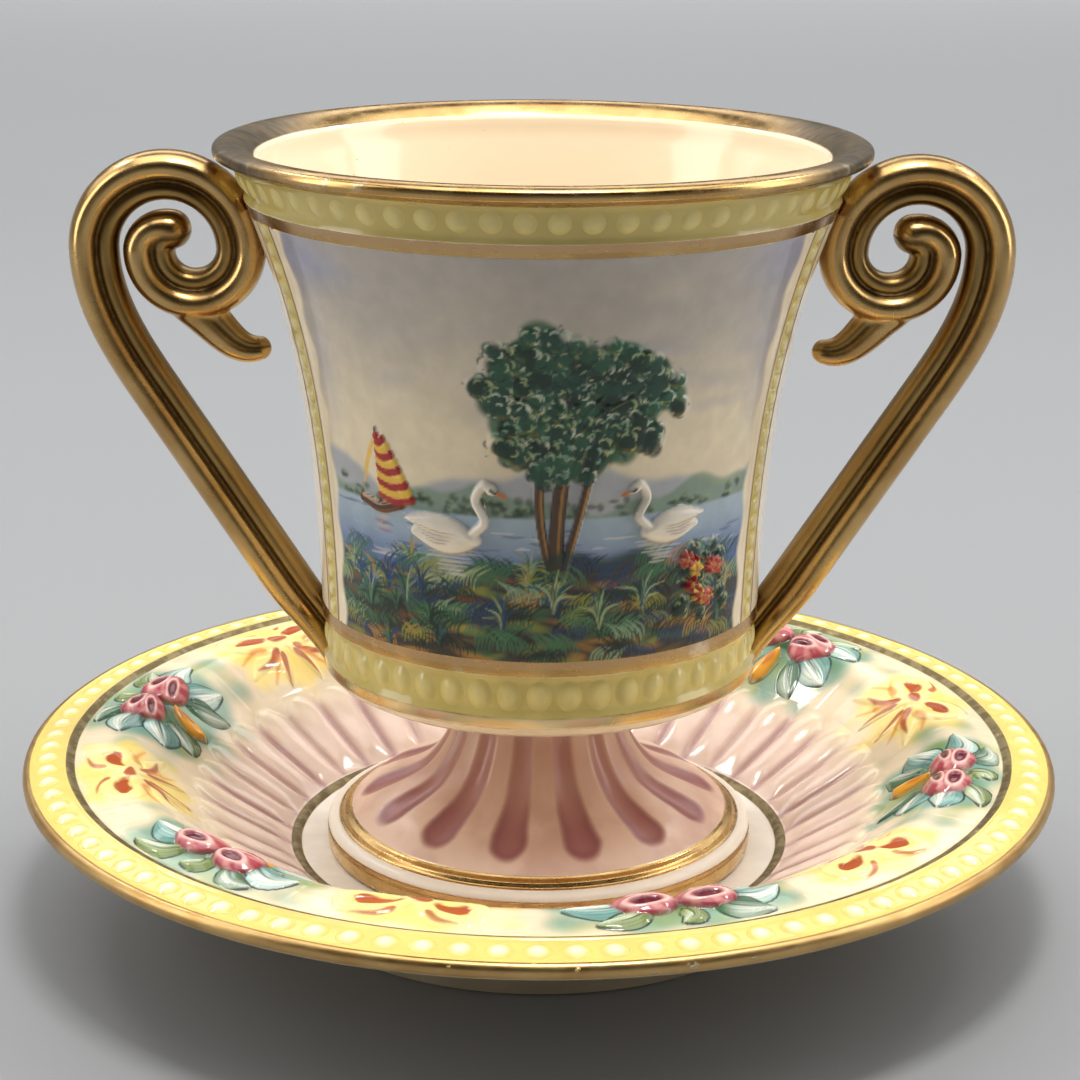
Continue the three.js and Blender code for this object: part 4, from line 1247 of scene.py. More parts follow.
# The upper band is darker and greener: partly its own olive, partly painted shade under the lip.
olive = mix(heights.between(60, 61) * 0.35, olive, opaque("b7a25e"))
colour = mix(bands, cream, olive)
gold_low = wobble.band(27.4, 28.65) + wobble.band(33.2, 34.95)
gold_high = wobble.band(77.25, 78.75) + wobble.between(82.5, 82.65)
gold_inside = reach_wire.between(30.1, 30.3) * heights.between(81, 81.4) * (1 - outside)
worn = noise(tree, place, 260, 5).between(0.6, 0.75) * 0.45
rubbed_low = noise(tree, place, 60, 4).between(0.36, 0.62) * heights.between(28.95, 28.7) * 0.5
worn = worn.at_least(rubbed_low)
gilded = ((gold_low + gold_high) * outside + gold_inside).at_most(1)
dull = (wobble.band(33.95, 34.95) + wobble.band(77.9, 78.75)) * outside
tint = mix(dull * 0.8, gold_colour(tree, place), opaque("c4a27a"))
# The grey on the left and right of the lip is a painted reflection of the grey room, with scratches in it.
sideways = split[0].math("ABSOLUTE", split[0]) / LIP_RADIUS
grey_side_reflection = sideways.between(0.66, 0.9) * heights.between(82.7, 83.2)
scratched = noise(tree, place, 420, 4, (1, 3, 1)).between(0.42, 0.62)
tint = mix(grey_side_reflection * (0.78 + scratched * 0.2), tint, opaque("4a473f"))
close_glaze(tree, place, colour, gilded * (1 - worn * outside), tint, gold_roughness=0.24, dull=grey_side_reflection)
dress(bowl, "cup", bowl_glaze, "bowl")

# %% [markdown]
# Two rows of pearls sit in the sunk bands, tilted as the wall is there: tall ones below, round ones above.

# %% Bowl pearls
def wall_tilt(height):
    """How far the wall leans outwards at a height, as an angle."""
    step = 0.1
    return math.atan((wall_radius(height + step) - wall_radius(height - step)) / (2 * step))


for name, count, band, size, drop in (("lower_pearls", 48, LOWER_BAND, (1.35, 1.75, 0.32, 23.6), 0.0),
                                      ("upper_pearls", 62, UPPER_BAND, (1.25, 1.35, 0.2, 31), -0.1)):
    middle = sum(band) / 2 - drop
    pearl_row(name, count, wall_radius(middle) - BAND_SINK, middle, wall_tilt(middle), size, "cup",
              BAND_OLIVE, "dfd08c")

# %% [markdown]
# Between the bands each side of the bowl carries a picture. This one is a design of its own in the colours
# of the ware: a lake under a lavender sky, far hills, one spreading tree, two swans, a boat with a striped
# sail, a flowering bush and grasses. The mould raises the swans, the tree and the bush, and the brush adds
# the rest. The ground comes first, from the back to the front, as the painter works.

# %% Picture's paints
PICTURE_SCALE = 26.0
PICTURE_HALF = 26.5
SKY_HIGH = paint("bbb4ac")
SKY_LOW = paint("eadcbf")
SKY_BLUE = paint("979dbb")
LAKE_FAR = paint("a9bccb")
LAKE_NEAR = paint("4460a2")
INK_BLUE = paint("2b3c7a")
INK_GREEN = paint("1d3527")
GRASS_MID = paint("3f6f4a")
GRASS_PALE = paint("aab987")
GRASS_YELLOW = paint("96993f")
EARTH_DARK = paint("443322")
EARTH = paint("6d5b30")
OCHRE = paint("c08c3c")
RUST = paint("9a4f2c")
REED_BLUE = paint("2c4468")
SWAN_WHITE = paint("f3ebdd")
SAIL_RED = paint("ab2f2a")
SAIL_YELLOW = paint("f0c24e")
HILLS = paint("93a0b4")
SHORE = paint("7b967f")
BARK = paint("4f3a2a")
CROWN_MASS = (INK_GREEN, paint("2d5540"), paint("3c6a4a"))
CROWN_DARK = (INK_GREEN, paint("2f5a41"), paint("234a3a"))
CROWN_LIGHT = (GRASS_PALE, paint("8fb39a"), paint("d3dcc4"))
BANK_SPOTS = (OCHRE, RUST, EARTH, GRASS_MID, EARTH, GRASS_YELLOW, GRASS_MID, INK_GREEN)
BANK_DARK = (INK_GREEN, REED_BLUE, GRASS_MID, paint("20291c"), LEAF_DARK)
BANK_BRIGHT = (GRASS_MID, GRASS_PALE, GRASS_YELLOW, paint("8fae8c"), OCHRE)
REEDS = (INK_BLUE, LAKE_NEAR, REED_BLUE, INK_GREEN)
FORE_GREENS = (INK_GREEN, GRASS_MID, GRASS_PALE, REED_BLUE)
print("the picture is", 2 * PICTURE_HALF, "mm wide")

# %% [markdown]
# The backdrop is laid in flat washes: sky, clouds, two ranges of hills and the lake. Dabs make the trees of
# the far shore and thin strokes the ripples.

# %% Sky and lake
CLOUDS, SHORE_TREES, RIPPLES = 34, 90, 120


def backdrop_paint(canvas, random):
    """Sky, clouds, hills, the far shore and the lake with its ripples."""
    x, y = canvas.x, canvas.y
    # The sky greys towards its top: partly the picture's own sky, partly painted shade at the top of the
    # wall.
    canvas.colour[:] = blend(SKY_LOW, SKY_HIGH, smooth(y, 22, 39))
    for _ in range(CLOUDS):
        spot = (random.uniform(-26, 26), random.uniform(26, 42))
        size = (random.uniform(4, 10), random.uniform(1.2, 3.2))
        tone = (SKY_BLUE, SKY_LOW, SKY_HIGH)[int(random.integers(3))]
        canvas.blot(spot, size, tone, 0.22, 0.95, random.uniform(-0.2, 0.2))
    for side in (-1, 1):
        canvas.blot((25.5 * side, 41), (9, 6), SKY_BLUE, 0.6, 0.95)
        canvas.blot((26 * side, 30), (4.5, 12), SKY_BLUE, 0.35, 0.95)
    hills = 19.4 + 1.8 * np.sin(0.17 * x + 1.1) + 0.7 * np.sin(0.47 * x)
    fill_below(canvas, hills, HILLS, 0.75, 0.6)
    shore = 17.3 + 1.2 * np.sin(0.24 * x + 3.3) + 0.5 * np.sin(0.8 * x)
    fill_below(canvas, shore, SHORE, 0.8, 0.4)
    for _ in range(SHORE_TREES):
        spot = np.array([random.uniform(-25, 25), random.uniform(15.6, 17.4)])
        canvas.blot(spot, (random.uniform(0.5, 1.1), random.uniform(0.3, 0.8)), INK_GREEN, 0.6, 0.7)
        canvas.blot(spot + (0.3, 0.3), (0.5, 0.3), GRASS_PALE, 0.35, 0.8)
    water = blend(LAKE_FAR, LAKE_NEAR, smooth(y, 15.4, 7))
    canvas.lay(slice(None), smooth(y, 15.6, 15.2), water)
    for _ in range(RIPPLES):
        spot = np.array([random.uniform(-25, 25), random.uniform(5, 15)])
        length = random.uniform(0.8, 2.6)
        tone = (INK_BLUE, SWAN_WHITE, LAKE_FAR)[int(random.integers(3))]
        ripple = [spot - (length, 0), spot + (0, random.uniform(-0.3, 0.3)), spot + (length, 0)]
        canvas.stroke(ripple, random.uniform(0.15, 0.35), tone, 0.5, lance)


print("clouds, far trees and ripples:", CLOUDS, SHORE_TREES, RIPPLES)

# %% [markdown]
# Grass is drawn in two ways, as a pen and a brush do it: a tuft is a fan of fine blades that bend over from
# one root, and a comb is a row of curved hatching strokes.

# %% Grasses and bank
def tuft(canvas, random, foot, length, tones, spread=1.0, blades=12):
    """A fan of fine grass blades that bend over, from one root."""
    for share in np.linspace(-1, 1, blades):
        lean = share * spread + random.uniform(-0.2, 0.2)
        tall = length * random.uniform(0.6, 1.1) * (1 - 0.3 * share * share)
        top = foot + tall * np.array([1.1 * math.sin(lean), math.cos(lean)])
        bent = foot + 0.6 * tall * np.array([math.sin(lean * 0.45), math.cos(lean * 0.4)])
        tone = tones[int(random.integers(len(tones)))]
        canvas.stroke([foot, bent, top], random.uniform(0.16, 0.32), tone, 0.85, lance, lift=0.06)


def comb(canvas, random, foot, size, tone, flip):
    """A row of curved hatching strokes, as a pen lays over grass."""
    for step in range(9):
        low = foot + (0.42 * step * flip, random.uniform(-0.25, 0.25))
        tall = size * random.uniform(0.75, 1.15)
        line = [low, low + (0.15 * tall * flip, 0.6 * tall), low + (0.75 * tall * flip, tall)]
        canvas.stroke(line, random.uniform(0.16, 0.28), tone, 0.85, lance, lift=0.05)


def bank_paint(canvas, random):
    """The near bank: brown earth with ochre and rust lights, hatched grass and blue and green tufts."""
    x = canvas.x
    edge = 9.6 + 1.8 * np.sin(0.13 * x + 0.9) + 0.5 * np.sin(0.7 * x)
    fill_below(canvas, edge + 0.3, INK_GREEN, 0.85, 0.7)
    fill_below(canvas, edge - 0.9, EARTH_DARK, 0.7, 1.2)
    for _ in range(130):
        spot = np.array([random.uniform(-25, 25), random.uniform(0, 9.2)])
        tone = BANK_SPOTS[int(random.integers(len(BANK_SPOTS)))]
        size = (random.uniform(1.4, 4.2), random.uniform(0.35, 0.9))
        canvas.blot(spot, size, tone, 0.65, 0.8, random.uniform(-0.3, 0.3))
    for level in np.arange(9.4, -0.6, -0.85):
        for place in np.arange(-25, 25.1, 4.4):
            foot = np.array([place + random.uniform(-2, 2), level + random.uniform(-0.5, 0.5)])
            flip = 1 if random.uniform() > 0.4 else -1
            tones = BANK_DARK if random.uniform() > 0.3 else BANK_BRIGHT
            size = random.uniform(1.5, 2.7)
            comb(canvas, random, foot, size, tones[int(random.integers(len(tones)))], flip)
        foot = np.array([random.uniform(-24, 24), level + random.uniform(-0.4, 0.4)])
        blades = BANK_DARK if level < 5 else BANK_BRIGHT
        tuft(canvas, random, foot, random.uniform(2.6, 4.4), blades, 1.0, 14)
    for place in (-22.5, -20.5, -18.0, -15.8, -13.5):
        foot = np.array([place, 5.2 + random.uniform(-0.8, 1.6)])
        tuft(canvas, random, foot, random.uniform(3.4, 5.2), REEDS, 0.9, 14)


print("the bank's paints:", len(BANK_SPOTS))

# %% [markdown]
# The tree's crown and the bush are heaps of clumps. A clump is a raised cushion of dark dabs with pale
# curls on its lit side. The clumps of the crown follow a sunflower spiral, which spreads them evenly; the
# first half of them only lays a dark mass for the others to stand on.

# %% Tree
def clump(canvas, random, spot, size, base, light):
    """A cushion of leaves: dark dabs, ink curls and pale touches on its lit side."""
    for _ in range(4):
        dab = spot + random.uniform(-0.55, 0.55, 2) * size
        canvas.blot(dab, size * random.uniform(0.45, 0.75, 2), base, 0.85, 0.45, random.uniform(0, 3))
    picked, u, v = oval(canvas, spot, (size, size * 0.8), random.uniform(0, 3))
    dome = 0.3 * np.clip(1 - u * u - v * v, 0, 1) ** 0.8
    canvas.height[picked] = np.maximum(canvas.height[picked], dome)
    for turn in np.linspace(0.2, 2 * math.pi, 6) + random.uniform(0, 1):
        middle = spot + size * random.uniform(0.3, 0.75) * np.array([math.cos(turn), math.sin(turn)])
        bend = np.linspace(turn - 1.3, turn + 1.2, 4)
        curl = middle + size * 0.3 * np.column_stack([np.cos(bend), np.sin(bend)])
        lit = math.sin(turn + 0.6) > -0.1
        canvas.stroke(curl, 0.24, light if lit else OUTLINE, 0.75, lance)
    for tone in (light, OUTLINE, INK_GREEN, light):
        touch = spot + random.uniform(-1, 1, 2) * size
        canvas.stroke([touch, touch + random.uniform(-0.6, 0.6, 2)], 0.22, tone, 0.65, lance)


CLUMPS = 120
SPIRAL_TURN = math.pi * (3 - math.sqrt(5))


def tree_paint(canvas, random, foot, crown, reach):
    """Three leaning stems, their boughs and a ragged crown of clumps."""
    for lean, width in ((-1.6, 1.0), (0.0, 1.6), (1.9, 0.9)):
        low, top = foot + (lean * 0.35, 0), crown + (lean * 1.6, 0)
        middle = foot * 0.5 + crown * 0.5 + (lean * 1.3 - 0.6, -1)
        canvas.stroke([low, middle, top], width, BARK, 1, lift=0.45)
        canvas.stroke([low + (0.15, 0), middle + (0.2, 0), top], 0.3, OCHRE, 0.6, lance)
    for side in (-1, -0.5, 0.4, 0.9):
        bough = crown + (side * reach[0] * 0.75, reach[1] * 0.2)
        canvas.stroke([crown - (0, 3), crown + (side * 2.4, -0.8), bough], 0.7, BARK, 1, lance, lift=0.4)
    for number in range(2 * CLUMPS):
        share = math.sqrt(((number % CLUMPS) + 0.5) / CLUMPS)
        turn = number * SPIRAL_TURN
        ragged = 1 + 0.16 * math.sin(3 * turn + 1) + 0.1 * math.sin(7 * turn)
        spot = crown + ragged * share * reach * (math.cos(turn), math.sin(turn))
        spot = spot + random.uniform(-0.8, 0.8, 2)
        if number < CLUMPS:
            drawn_in = crown + (spot - crown) * 0.9
            canvas.blot(drawn_in, random.uniform(1.5, 2.4, 2), CROWN_MASS[number % 3], 0.9, 0.4, turn)
            continue
        base = CROWN_DARK[int(random.integers(3))]
        light = CROWN_LIGHT[int(random.integers(3))]
        clump(canvas, random, spot, random.uniform(1.0, 1.8), base, light)


print("the crown has", CLUMPS, "clumps")

# %% [markdown]
# The swans stand out like cameos. Each is a short table of strokes in its own size: body, neck, head, bill,
# eye and wing, from the back to the front. Grey lines draw the feathers, and pale strokes under it are its
# mirror image in the lake.

# %% Swans
SWAN_GREY = paint("b9a898")
SWAN_BILL = paint("d8742a")


def swan_body(along):
    """Full at the breast and pointed at the tail."""
    belly = np.sin(math.pi * np.clip(0.12 + 0.82 * along, 0, 1))
    return np.sqrt(np.clip(belly, 0, 1)) * (0.65 + 0.35 * along)


SWAN_NECK = [(1.0, 0.3), (1.75, 1.1), (1.3, 2.2), (1.75, 3.0), (2.2, 2.75)]
SWAN_FORMS = [([(-2.1, 0.25), (-0.6, -0.05), (1.2, 0.1)], 1.75, SWAN_WHITE, 1, swan_body, 0.95),
              (SWAN_NECK, 0.5, SWAN_WHITE, 1, even, 0.8),
              ([(1.9, 2.95), (2.45, 2.65)], 0.62, SWAN_WHITE, 1, lance, 0.85),
              ([(2.35, 2.66), (2.9, 2.4)], 0.3, SWAN_BILL, 1, tear, 0),
              ([(2.2, 2.85), (2.4, 2.7)], 0.16, OUTLINE, 0.9, even, 0),
              ([(1.1, 0.2), (-0.5, 0.62), (-2.7, 0.95)], 1.25, SWAN_WHITE, 1, lance, 1.1)]


def swan(canvas, centre, size, facing):
    """A swan on the water, with folded wings and its pale mirror image below."""
    def at(across, up):
        return centre + size * np.array([across * facing, up])

    for step in range(7):
        low = at(0.25 * math.sin(step * 2.4), -0.55 - 0.22 * step)
        reach = size * (1 - step / 9)
        canvas.stroke([low - (1.9 * reach, 0), low + (1.6 * reach, 0)], 0.3, SWAN_WHITE, 0.5, lance)
    for line, width, tone, strength, form, lift in SWAN_FORMS:
        canvas.stroke([at(*spot) for spot in line], width * size, tone, strength, form, lift=lift)
    for row in range(4):
        start = at(0.6 - 0.25 * row, 0.35 - 0.16 * row)
        stop = at(-2.35 + 0.3 * row, 0.86 - 0.27 * row)
        canvas.stroke([start, (start + stop) / 2 + (0, -0.14 * size), stop], 0.2, SWAN_GREY, 0.85, lance)
    canvas.stroke([at(-2.3, -0.2), at(-0.4, -0.85), at(1.6, -0.3)], 0.22, SWAN_GREY, 0.8, lance)


print("a swan has", len(SWAN_FORMS), "raised or coloured forms")

# %% [markdown]
# A boat with a striped sail stands far out on the lake, and a bush with open flowers closes the picture at
# its right. A flower is five teardrops round an ochre heart.

# %% Boat and bush
HULL_BROWN = paint("5b3524")
SAIL_STRIPES = (SAIL_RED, SAIL_YELLOW)
PETALS = (SAIL_RED, paint("cf5a4a"), SAIL_YELLOW)


def boat(canvas, spot, size):
    """A little boat with a striped sail."""
    def at(across, up):
        return spot + size * np.array([across, up])

    canvas.stroke([at(-1.5, 0.2), at(0, -0.15), at(1.6, 0.3)], 0.75 * size, HULL_BROWN, 1, lift=0.4)
    canvas.stroke([at(-1.6, 0.45), at(0, 0.2), at(1.7, 0.55)], 0.2, OCHRE, 0.9)
    canvas.stroke([spot + (0, 0.2), at(0.1, 4.9)], 0.24, OUTLINE, 1, lift=0.3)
    for row in range(9):
        share = row / 9
        up = 0.75 + 4.0 * share
        wide = 2.3 * (1 - share) ** 0.8
        sheet = [at(0.15, up), at(0.15 + wide * 0.5, up - 0.25), at(0.15 + wide, up - 0.1)]
        canvas.stroke(sheet, 0.62 * size, SAIL_STRIPES[row % 2], 1, lift=0.35)
    canvas.stroke([at(-0.1, 4.3), at(-0.9, 2.6), at(-1.5, 0.9)], 0.35 * size, SAIL_YELLOW, 0.9, lance)
    for step in range(5):
        low = spot + (0.3 * math.sin(step * 2), -0.8 - 0.5 * step)
        canvas.stroke([low - (1.2, 0), low + (1.3, 0)], 0.25, SAIL_STRIPES[step % 2], 0.45, lance)


def bush(canvas, random, centre, reach):
    """A low bush with open red and yellow flowers."""
    for _ in range(16):
        spot = centre + random.uniform(-1, 1, 2) * reach
        clump(canvas, random, spot, random.uniform(1.0, 1.5), INK_GREEN, GRASS_PALE)
    for number in range(11):
        spot = centre + random.uniform(-0.95, 0.95, 2) * reach
        for turn in np.arange(5) * 2 * math.pi / 5 + random.uniform(0, 1):
            tip = spot + 0.95 * np.array([math.cos(turn), math.sin(turn)])
            canvas.stroke([spot, tip], 0.75, PETALS[number % 3], 1, tear, lift=0.7)
            canvas.stroke([spot, spot * 0.4 + tip * 0.6], 0.16, ROSE_DEEP, 0.7, lance)
        canvas.blot(spot, (0.34, 0.34), OCHRE, 1, 0.3)


print("sail stripes and petals:", len(SAIL_STRIPES), len(PETALS))

# %% [markdown]
# The whole picture is put together from the back to the front. For the other side of the bowl its layout
# is turned over and the random numbers start anew, so the two sides are not copies. At its edges it ends
# in bare cream, with a hand-cut border.

# %% Whole picture
def landscape(canvas, seed, flip):
    """The whole picture; flip turns its layout over from left to right."""
    random = np.random.default_rng(seed)
    canvas.x = canvas.x * flip
    backdrop_paint(canvas, random)
    boat(canvas, np.array([-18.4, 15.2]), 1.7)
    tree_paint(canvas, random, np.array([1.6, 9.0]), np.array([3.4, 27.2]), np.array([9.6, 7.2]))
    bank_paint(canvas, random)
    swan(canvas, np.array([-9.4, 12.8]), 2.0, 1)
    swan(canvas, np.array([13.6, 13.4]), 1.75, -1)
    bush(canvas, random, np.array([19.6, 6.8]), np.array([4.0, 3.8]))
    for place in ((-21, 3.5), (-15.5, 5.0), (-4, 3.2), (1.5, 5.2), (6.5, 3.4), (11.5, 5.0)):
        tuft(canvas, random, np.array(place, float), 5.2, FORE_GREENS, 0.9, 15)
    canvas.x = canvas.x * flip
    bare = smooth(abs(canvas.x) + 0.35 * np.sin(canvas.y * 0.9), PICTURE_HALF - 0.4, PICTURE_HALF + 0.5)
    canvas.lay(slice(None), bare, paint(WALL_CREAM))
    canvas.height *= 1 - bare


print("the picture is", round(PANEL[1] - PANEL[0], 1), "mm high")

# %% [markdown]
# A patch on the wall follows its formula as the saucer's patches follow the field. A narrow one is closed by
# one deep point. A wide one would cut through the wall that way, so it gets a coarser sheet behind it.

# %% Wall patches
UNDER_WALL = 0.6
BACK_ROWS = 12


def backed_patch(name, grid, colour):
    """A wide patch closed by a second, coarser sheet just under the glaze."""
    rows, columns, _ = grid.shape
    picked = np.linspace(0, rows - 1, BACK_ROWS).astype(int)
    shrink = 1 - UNDER_WALL / np.hypot(grid[picked, :, 0], grid[picked, :, 1])
    back = grid[picked] * np.stack([shrink, shrink, np.ones_like(shrink)], axis=-1)
    front_number = np.arange(rows * columns).reshape(rows, columns)
    back_number = np.arange(BACK_ROWS * columns).reshape(BACK_ROWS, columns) + rows * columns
    sheets = [grid_quads(front_number), grid_quads(back_number)[:, ::-1]]
    for row, order in ((0, 1), (-1, -1)):
        edge, behind = front_number[row], back_number[row]
        sheets.append(np.column_stack([edge[1:], edge[:-1], behind[:-1], behind[1:]])[:, ::order])
    faces = np.vstack(sheets).tolist()
    for column, order in ((0, 1), (-1, -1)):
        hidden = back_number[:, column]
        for low, high, below, above in zip(picked, picked[1:], hidden, hidden[1:]):
            line = front_number[low:high + 1, column]
            corners = [(a, b, below) for a, b in zip(line, line[1:])] + [(line[-1], above, below)]
            faces += [[int(i) for i in corner[::order]] for corner in corners]
    piece = new_mesh(name, np.vstack([grid.reshape(-1, 3), back.reshape(-1, 3)]), faces)
    return piece, np.vstack([colour, np.tile(paint(WALL_CREAM), (BACK_ROWS * columns, 1))])


print("a wide patch's back has", BACK_ROWS, "rows")

# %% [markdown]
# The picture is painted flat and then bent round the wall. Its relief fades out at the rim, where the patch
# dives under the glaze.

# %% Pictures on the wall
NARROW = 10


def wall_patch(name, degrees, half_width, heights, spacing, decorate, rims):
    """A painted and raised patch on the bowl's wall; its canvas starts at the lower edge."""
    tall = heights[1] - heights[0]
    across, up = np.meshgrid(np.linspace(-half_width, half_width, int(2 * half_width / spacing)),
                             np.linspace(0, tall, int(tall / spacing)))
    canvas = Canvas(across.ravel(), up.ravel(), np.tile(paint(WALL_CREAM), (across.size, 1)))
    decorate(canvas)
    thin = patch_heights(across, up - tall / 2, (half_width, tall / 2), rims)
    fade = smooth(thin, -PATCH_DIP, 0.012)
    level = up + heights[0]
    reach = wall_radius(level) + thin + canvas.height.reshape(level.shape) * fade
    middle = math.radians(degrees)
    angle = middle + across / PICTURE_SCALE
    grid = np.stack([reach * np.cos(angle), reach * np.sin(angle), level], axis=-1)
    if half_width < NARROW:
        deep = WALL_BASE_RADIUS - UNDER_WALL
        point = [deep * math.cos(middle), deep * math.sin(middle), sum(heights) / 2]
        piece = closed_patch(name, grid, point)
        colours = np.vstack([canvas.colour, paint(WALL_CREAM)])
    else:
        piece, colours = backed_patch(name, grid, canvas.colour)
    lay_paint(piece, colours)
    return dress(piece, "cup", painted_glaze)


PICTURE_ZONE = (34.75, 77.45)
PICTURE_SPACING = 0.165
for name, degrees, seed, flip in (("front_picture", -90, 5, 1), ("back_picture", 90, 8, -1)):
    wall_patch(name, degrees, PICTURE_HALF + 1.6, PICTURE_ZONE, PICTURE_SPACING,
               lambda canvas: landscape(canvas, seed, flip), (0.8, 0.15))

# %% [markdown]
# Upright strips of low pearls frame the pictures on both sides. They are painted and raised by the canvas
# too, because here the pearls are flat ovals that melt into their yellow ground.

# %% Pearl strips
STRIP_LEAN = 66.5
STRIP_HALF = 2.3
STRIP_SPACING = 0.11
STRIP_RIMS = (0.25, 0.15)
STRIP_PEARL = paint("e9e0b4")
STRIP_EDGES = ((-1.68, paint("8a5a34")), (1.68, paint("6f452a")))


def strip_paint(canvas):
    """A yellow strip with low oval pearls between two thin brown-gold lines."""
    band = np.clip((1.42 - abs(canvas.x)) / 0.12 + 0.5, 0, 1)
    canvas.lay(slice(None), band, paint(BAND_OLIVE))
    for level in np.arange(1.3, 42, 1.93):
        picked, u, v = oval(canvas, (0, level), (1.0, 0.86), 0)
        far = np.hypot(u, v)
        canvas.lay(picked, smooth(far, 1.05, 0.3) * 0.85, STRIP_PEARL)
        dome = 0.3 * np.sqrt(np.clip(1 - far**2, 0, 1))
        canvas.height[picked] = np.maximum(canvas.height[picked], dome)
    for place, tone in STRIP_EDGES:
        canvas.stroke([(place, -1), (place, 44)], 0.36, tone, 0.9, soft=0.1, lift=0.08)


strip_angles = [side + lean for side in (-90, 90) for lean in (-STRIP_LEAN, STRIP_LEAN)]
for number, degrees in enumerate(strip_angles):
    wall_patch(f"pearl_strip_{number + 1}", degrees, STRIP_HALF, PICTURE_ZONE, STRIP_SPACING,
               strip_paint, STRIP_RIMS)

# %% [markdown]
# The handles are cast in one: a limb rises from the bowl's base, turns over in a scroll against the lip,
# curls under into an eye and lets a tail fall. The strap is two reeds side by side. Sweeping that section
# along the line gives the strap, and a voxel remesh joins strap, eye and tail in one skin with the soft
# inner corners that a casting has.

# %% Handle's places
STRAP_WIDTH, STRAP_DEPTH = 5.3, 5.6
SCROLL_RADIUS, CURL_RADIUS, CURL_TIGHTENING, CURL_WIDTH = 7.8, 5.1, 0.45, 5.5
EYE_RADIUS, EYE_RISE, EYE_TIP_WIDTH = 2.35, 2.0, 4.2
ROOT_SHIFT, ROOT_TAPER = 0.5, 0.9
SHOULDER_DROP = 14.7
SEAT_HEIGHT = BOWL_BASE + 51.4
ROOT_HEIGHT = BOWL_BASE + 5.2
seat_lean = wall_tilt(SEAT_HEIGHT)
seat_reach = SCROLL_RADIUS + STRAP_WIDTH / 2 - 0.5
scroll = np.array([wall_radius(SEAT_HEIGHT) + seat_reach * math.cos(seat_lean),
                   SEAT_HEIGHT - seat_reach * math.sin(seat_lean)])
curl = scroll + (CURL_RADIUS - SCROLL_RADIUS, 0)
eye = curl + (CURL_RADIUS - CURL_TIGHTENING - EYE_RADIUS, 0)
root = np.array([wall_radius(ROOT_HEIGHT), ROOT_HEIGHT])
shoulder = scroll + (2.2, -SHOULDER_DROP)
limb_way = (shoulder - root) / np.hypot(*(shoulder - root))
print("scroll's middle at", scroll.round(2), "and its eye at", eye.round(2))

# %% [markdown]
# The line of the strap is drawn in the handle's own plane, in pieces that run into each other: the straight
# limb, a bend, the scroll over the top, the tightening curl and the eye. At its root the limb is bent
# inwards a little and grows thinner, as the clay was pressed there. The tail is a line of its own.

# %% Handle's lines
LIMB_STEPS, CURL_STEPS, EYE_STEPS, TAIL_STEPS = 60, 50, 26, 50


def arc(centre, across, up, start, stop, steps):
    """A stretch of an oval, from one angle in degrees to another."""
    angle = np.radians(np.linspace(start, stop, steps))
    return np.column_stack([centre[0] + across * np.cos(angle), centre[1] + up * np.sin(angle)])


def bezier(a, b, c, d, steps):
    """A smooth line from a to d that leaves towards b and arrives from c."""
    t = np.linspace(0, 1, steps)[:, None]
    return (1 - t) ** 3 * a + 3 * (1 - t) ** 2 * t * b + 3 * (1 - t) * t**2 * c + t**3 * d


limb_line = straight([root - 3.2 * limb_way, shoulder], LIMB_STEPS)
foot_share = smooth((limb_line - root) @ limb_way, 8, -1)
limb_line += foot_share[:, None] * ROOT_SHIFT * np.array([-limb_way[1], limb_way[0]])
scroll_start = scroll + (SCROLL_RADIUS, 0)
bend = bezier(shoulder, shoulder + 0.4 * SHOULDER_DROP * limb_way,
              scroll_start - (0, 0.35 * SHOULDER_DROP), scroll_start, 24)
over = arc(scroll, SCROLL_RADIUS, SCROLL_RADIUS, 0, 180, 70)
curl_share = np.linspace(0, 1, CURL_STEPS)
curl_line = arc(curl, CURL_RADIUS, CURL_RADIUS - CURL_TIGHTENING / 2, 180, 360, CURL_STEPS)
curl_line[:, 0] -= CURL_TIGHTENING * curl_share**2
eye_line = arc(eye, EYE_RADIUS, EYE_RISE, 0, 92, EYE_STEPS)
main_line = np.vstack([limb_line[:-1], bend[:-1], over[:-1], curl_line[:-1], eye_line])
curl_width = STRAP_WIDTH + (CURL_WIDTH - STRAP_WIDTH) * curl_share[:-1]
eye_width = np.linspace(CURL_WIDTH, EYE_TIP_WIDTH, EYE_STEPS)
even_width = np.full(len(main_line) - len(curl_width) - len(eye_width), STRAP_WIDTH)
main_width = np.concatenate([even_width, curl_width, eye_width])
main_width[:LIMB_STEPS] -= ROOT_TAPER * foot_share[:-1]
tip_height = curl[1] - 10.8
tip = np.array([wall_radius(tip_height) + 3.8, tip_height])
tail_line = bezier(curl + (2.6, -4.3), curl + (-1.9, -6.6), curl + (-3.2, -11.4), tip, TAIL_STEPS)
tail_share = np.linspace(0, 1, TAIL_STEPS)
tail_width = 2.6 + 2.7 * (1 - tail_share) ** 0.8 * smooth(tail_share, -0.35, 0.25)
tail_depth = 2.9 + 2.4 * (1 - tail_share) * smooth(tail_share, 0.02, 0.3)
print("points along strap and tail:", len(main_line), len(tail_line))

# %% [markdown]
# The section of the strap is carried along its line, always square to it. It is reeded on the strap and
# turns round towards the eye, and its far end is closed by a rounded tip.

# %% Strap section
END_STEPS = 12


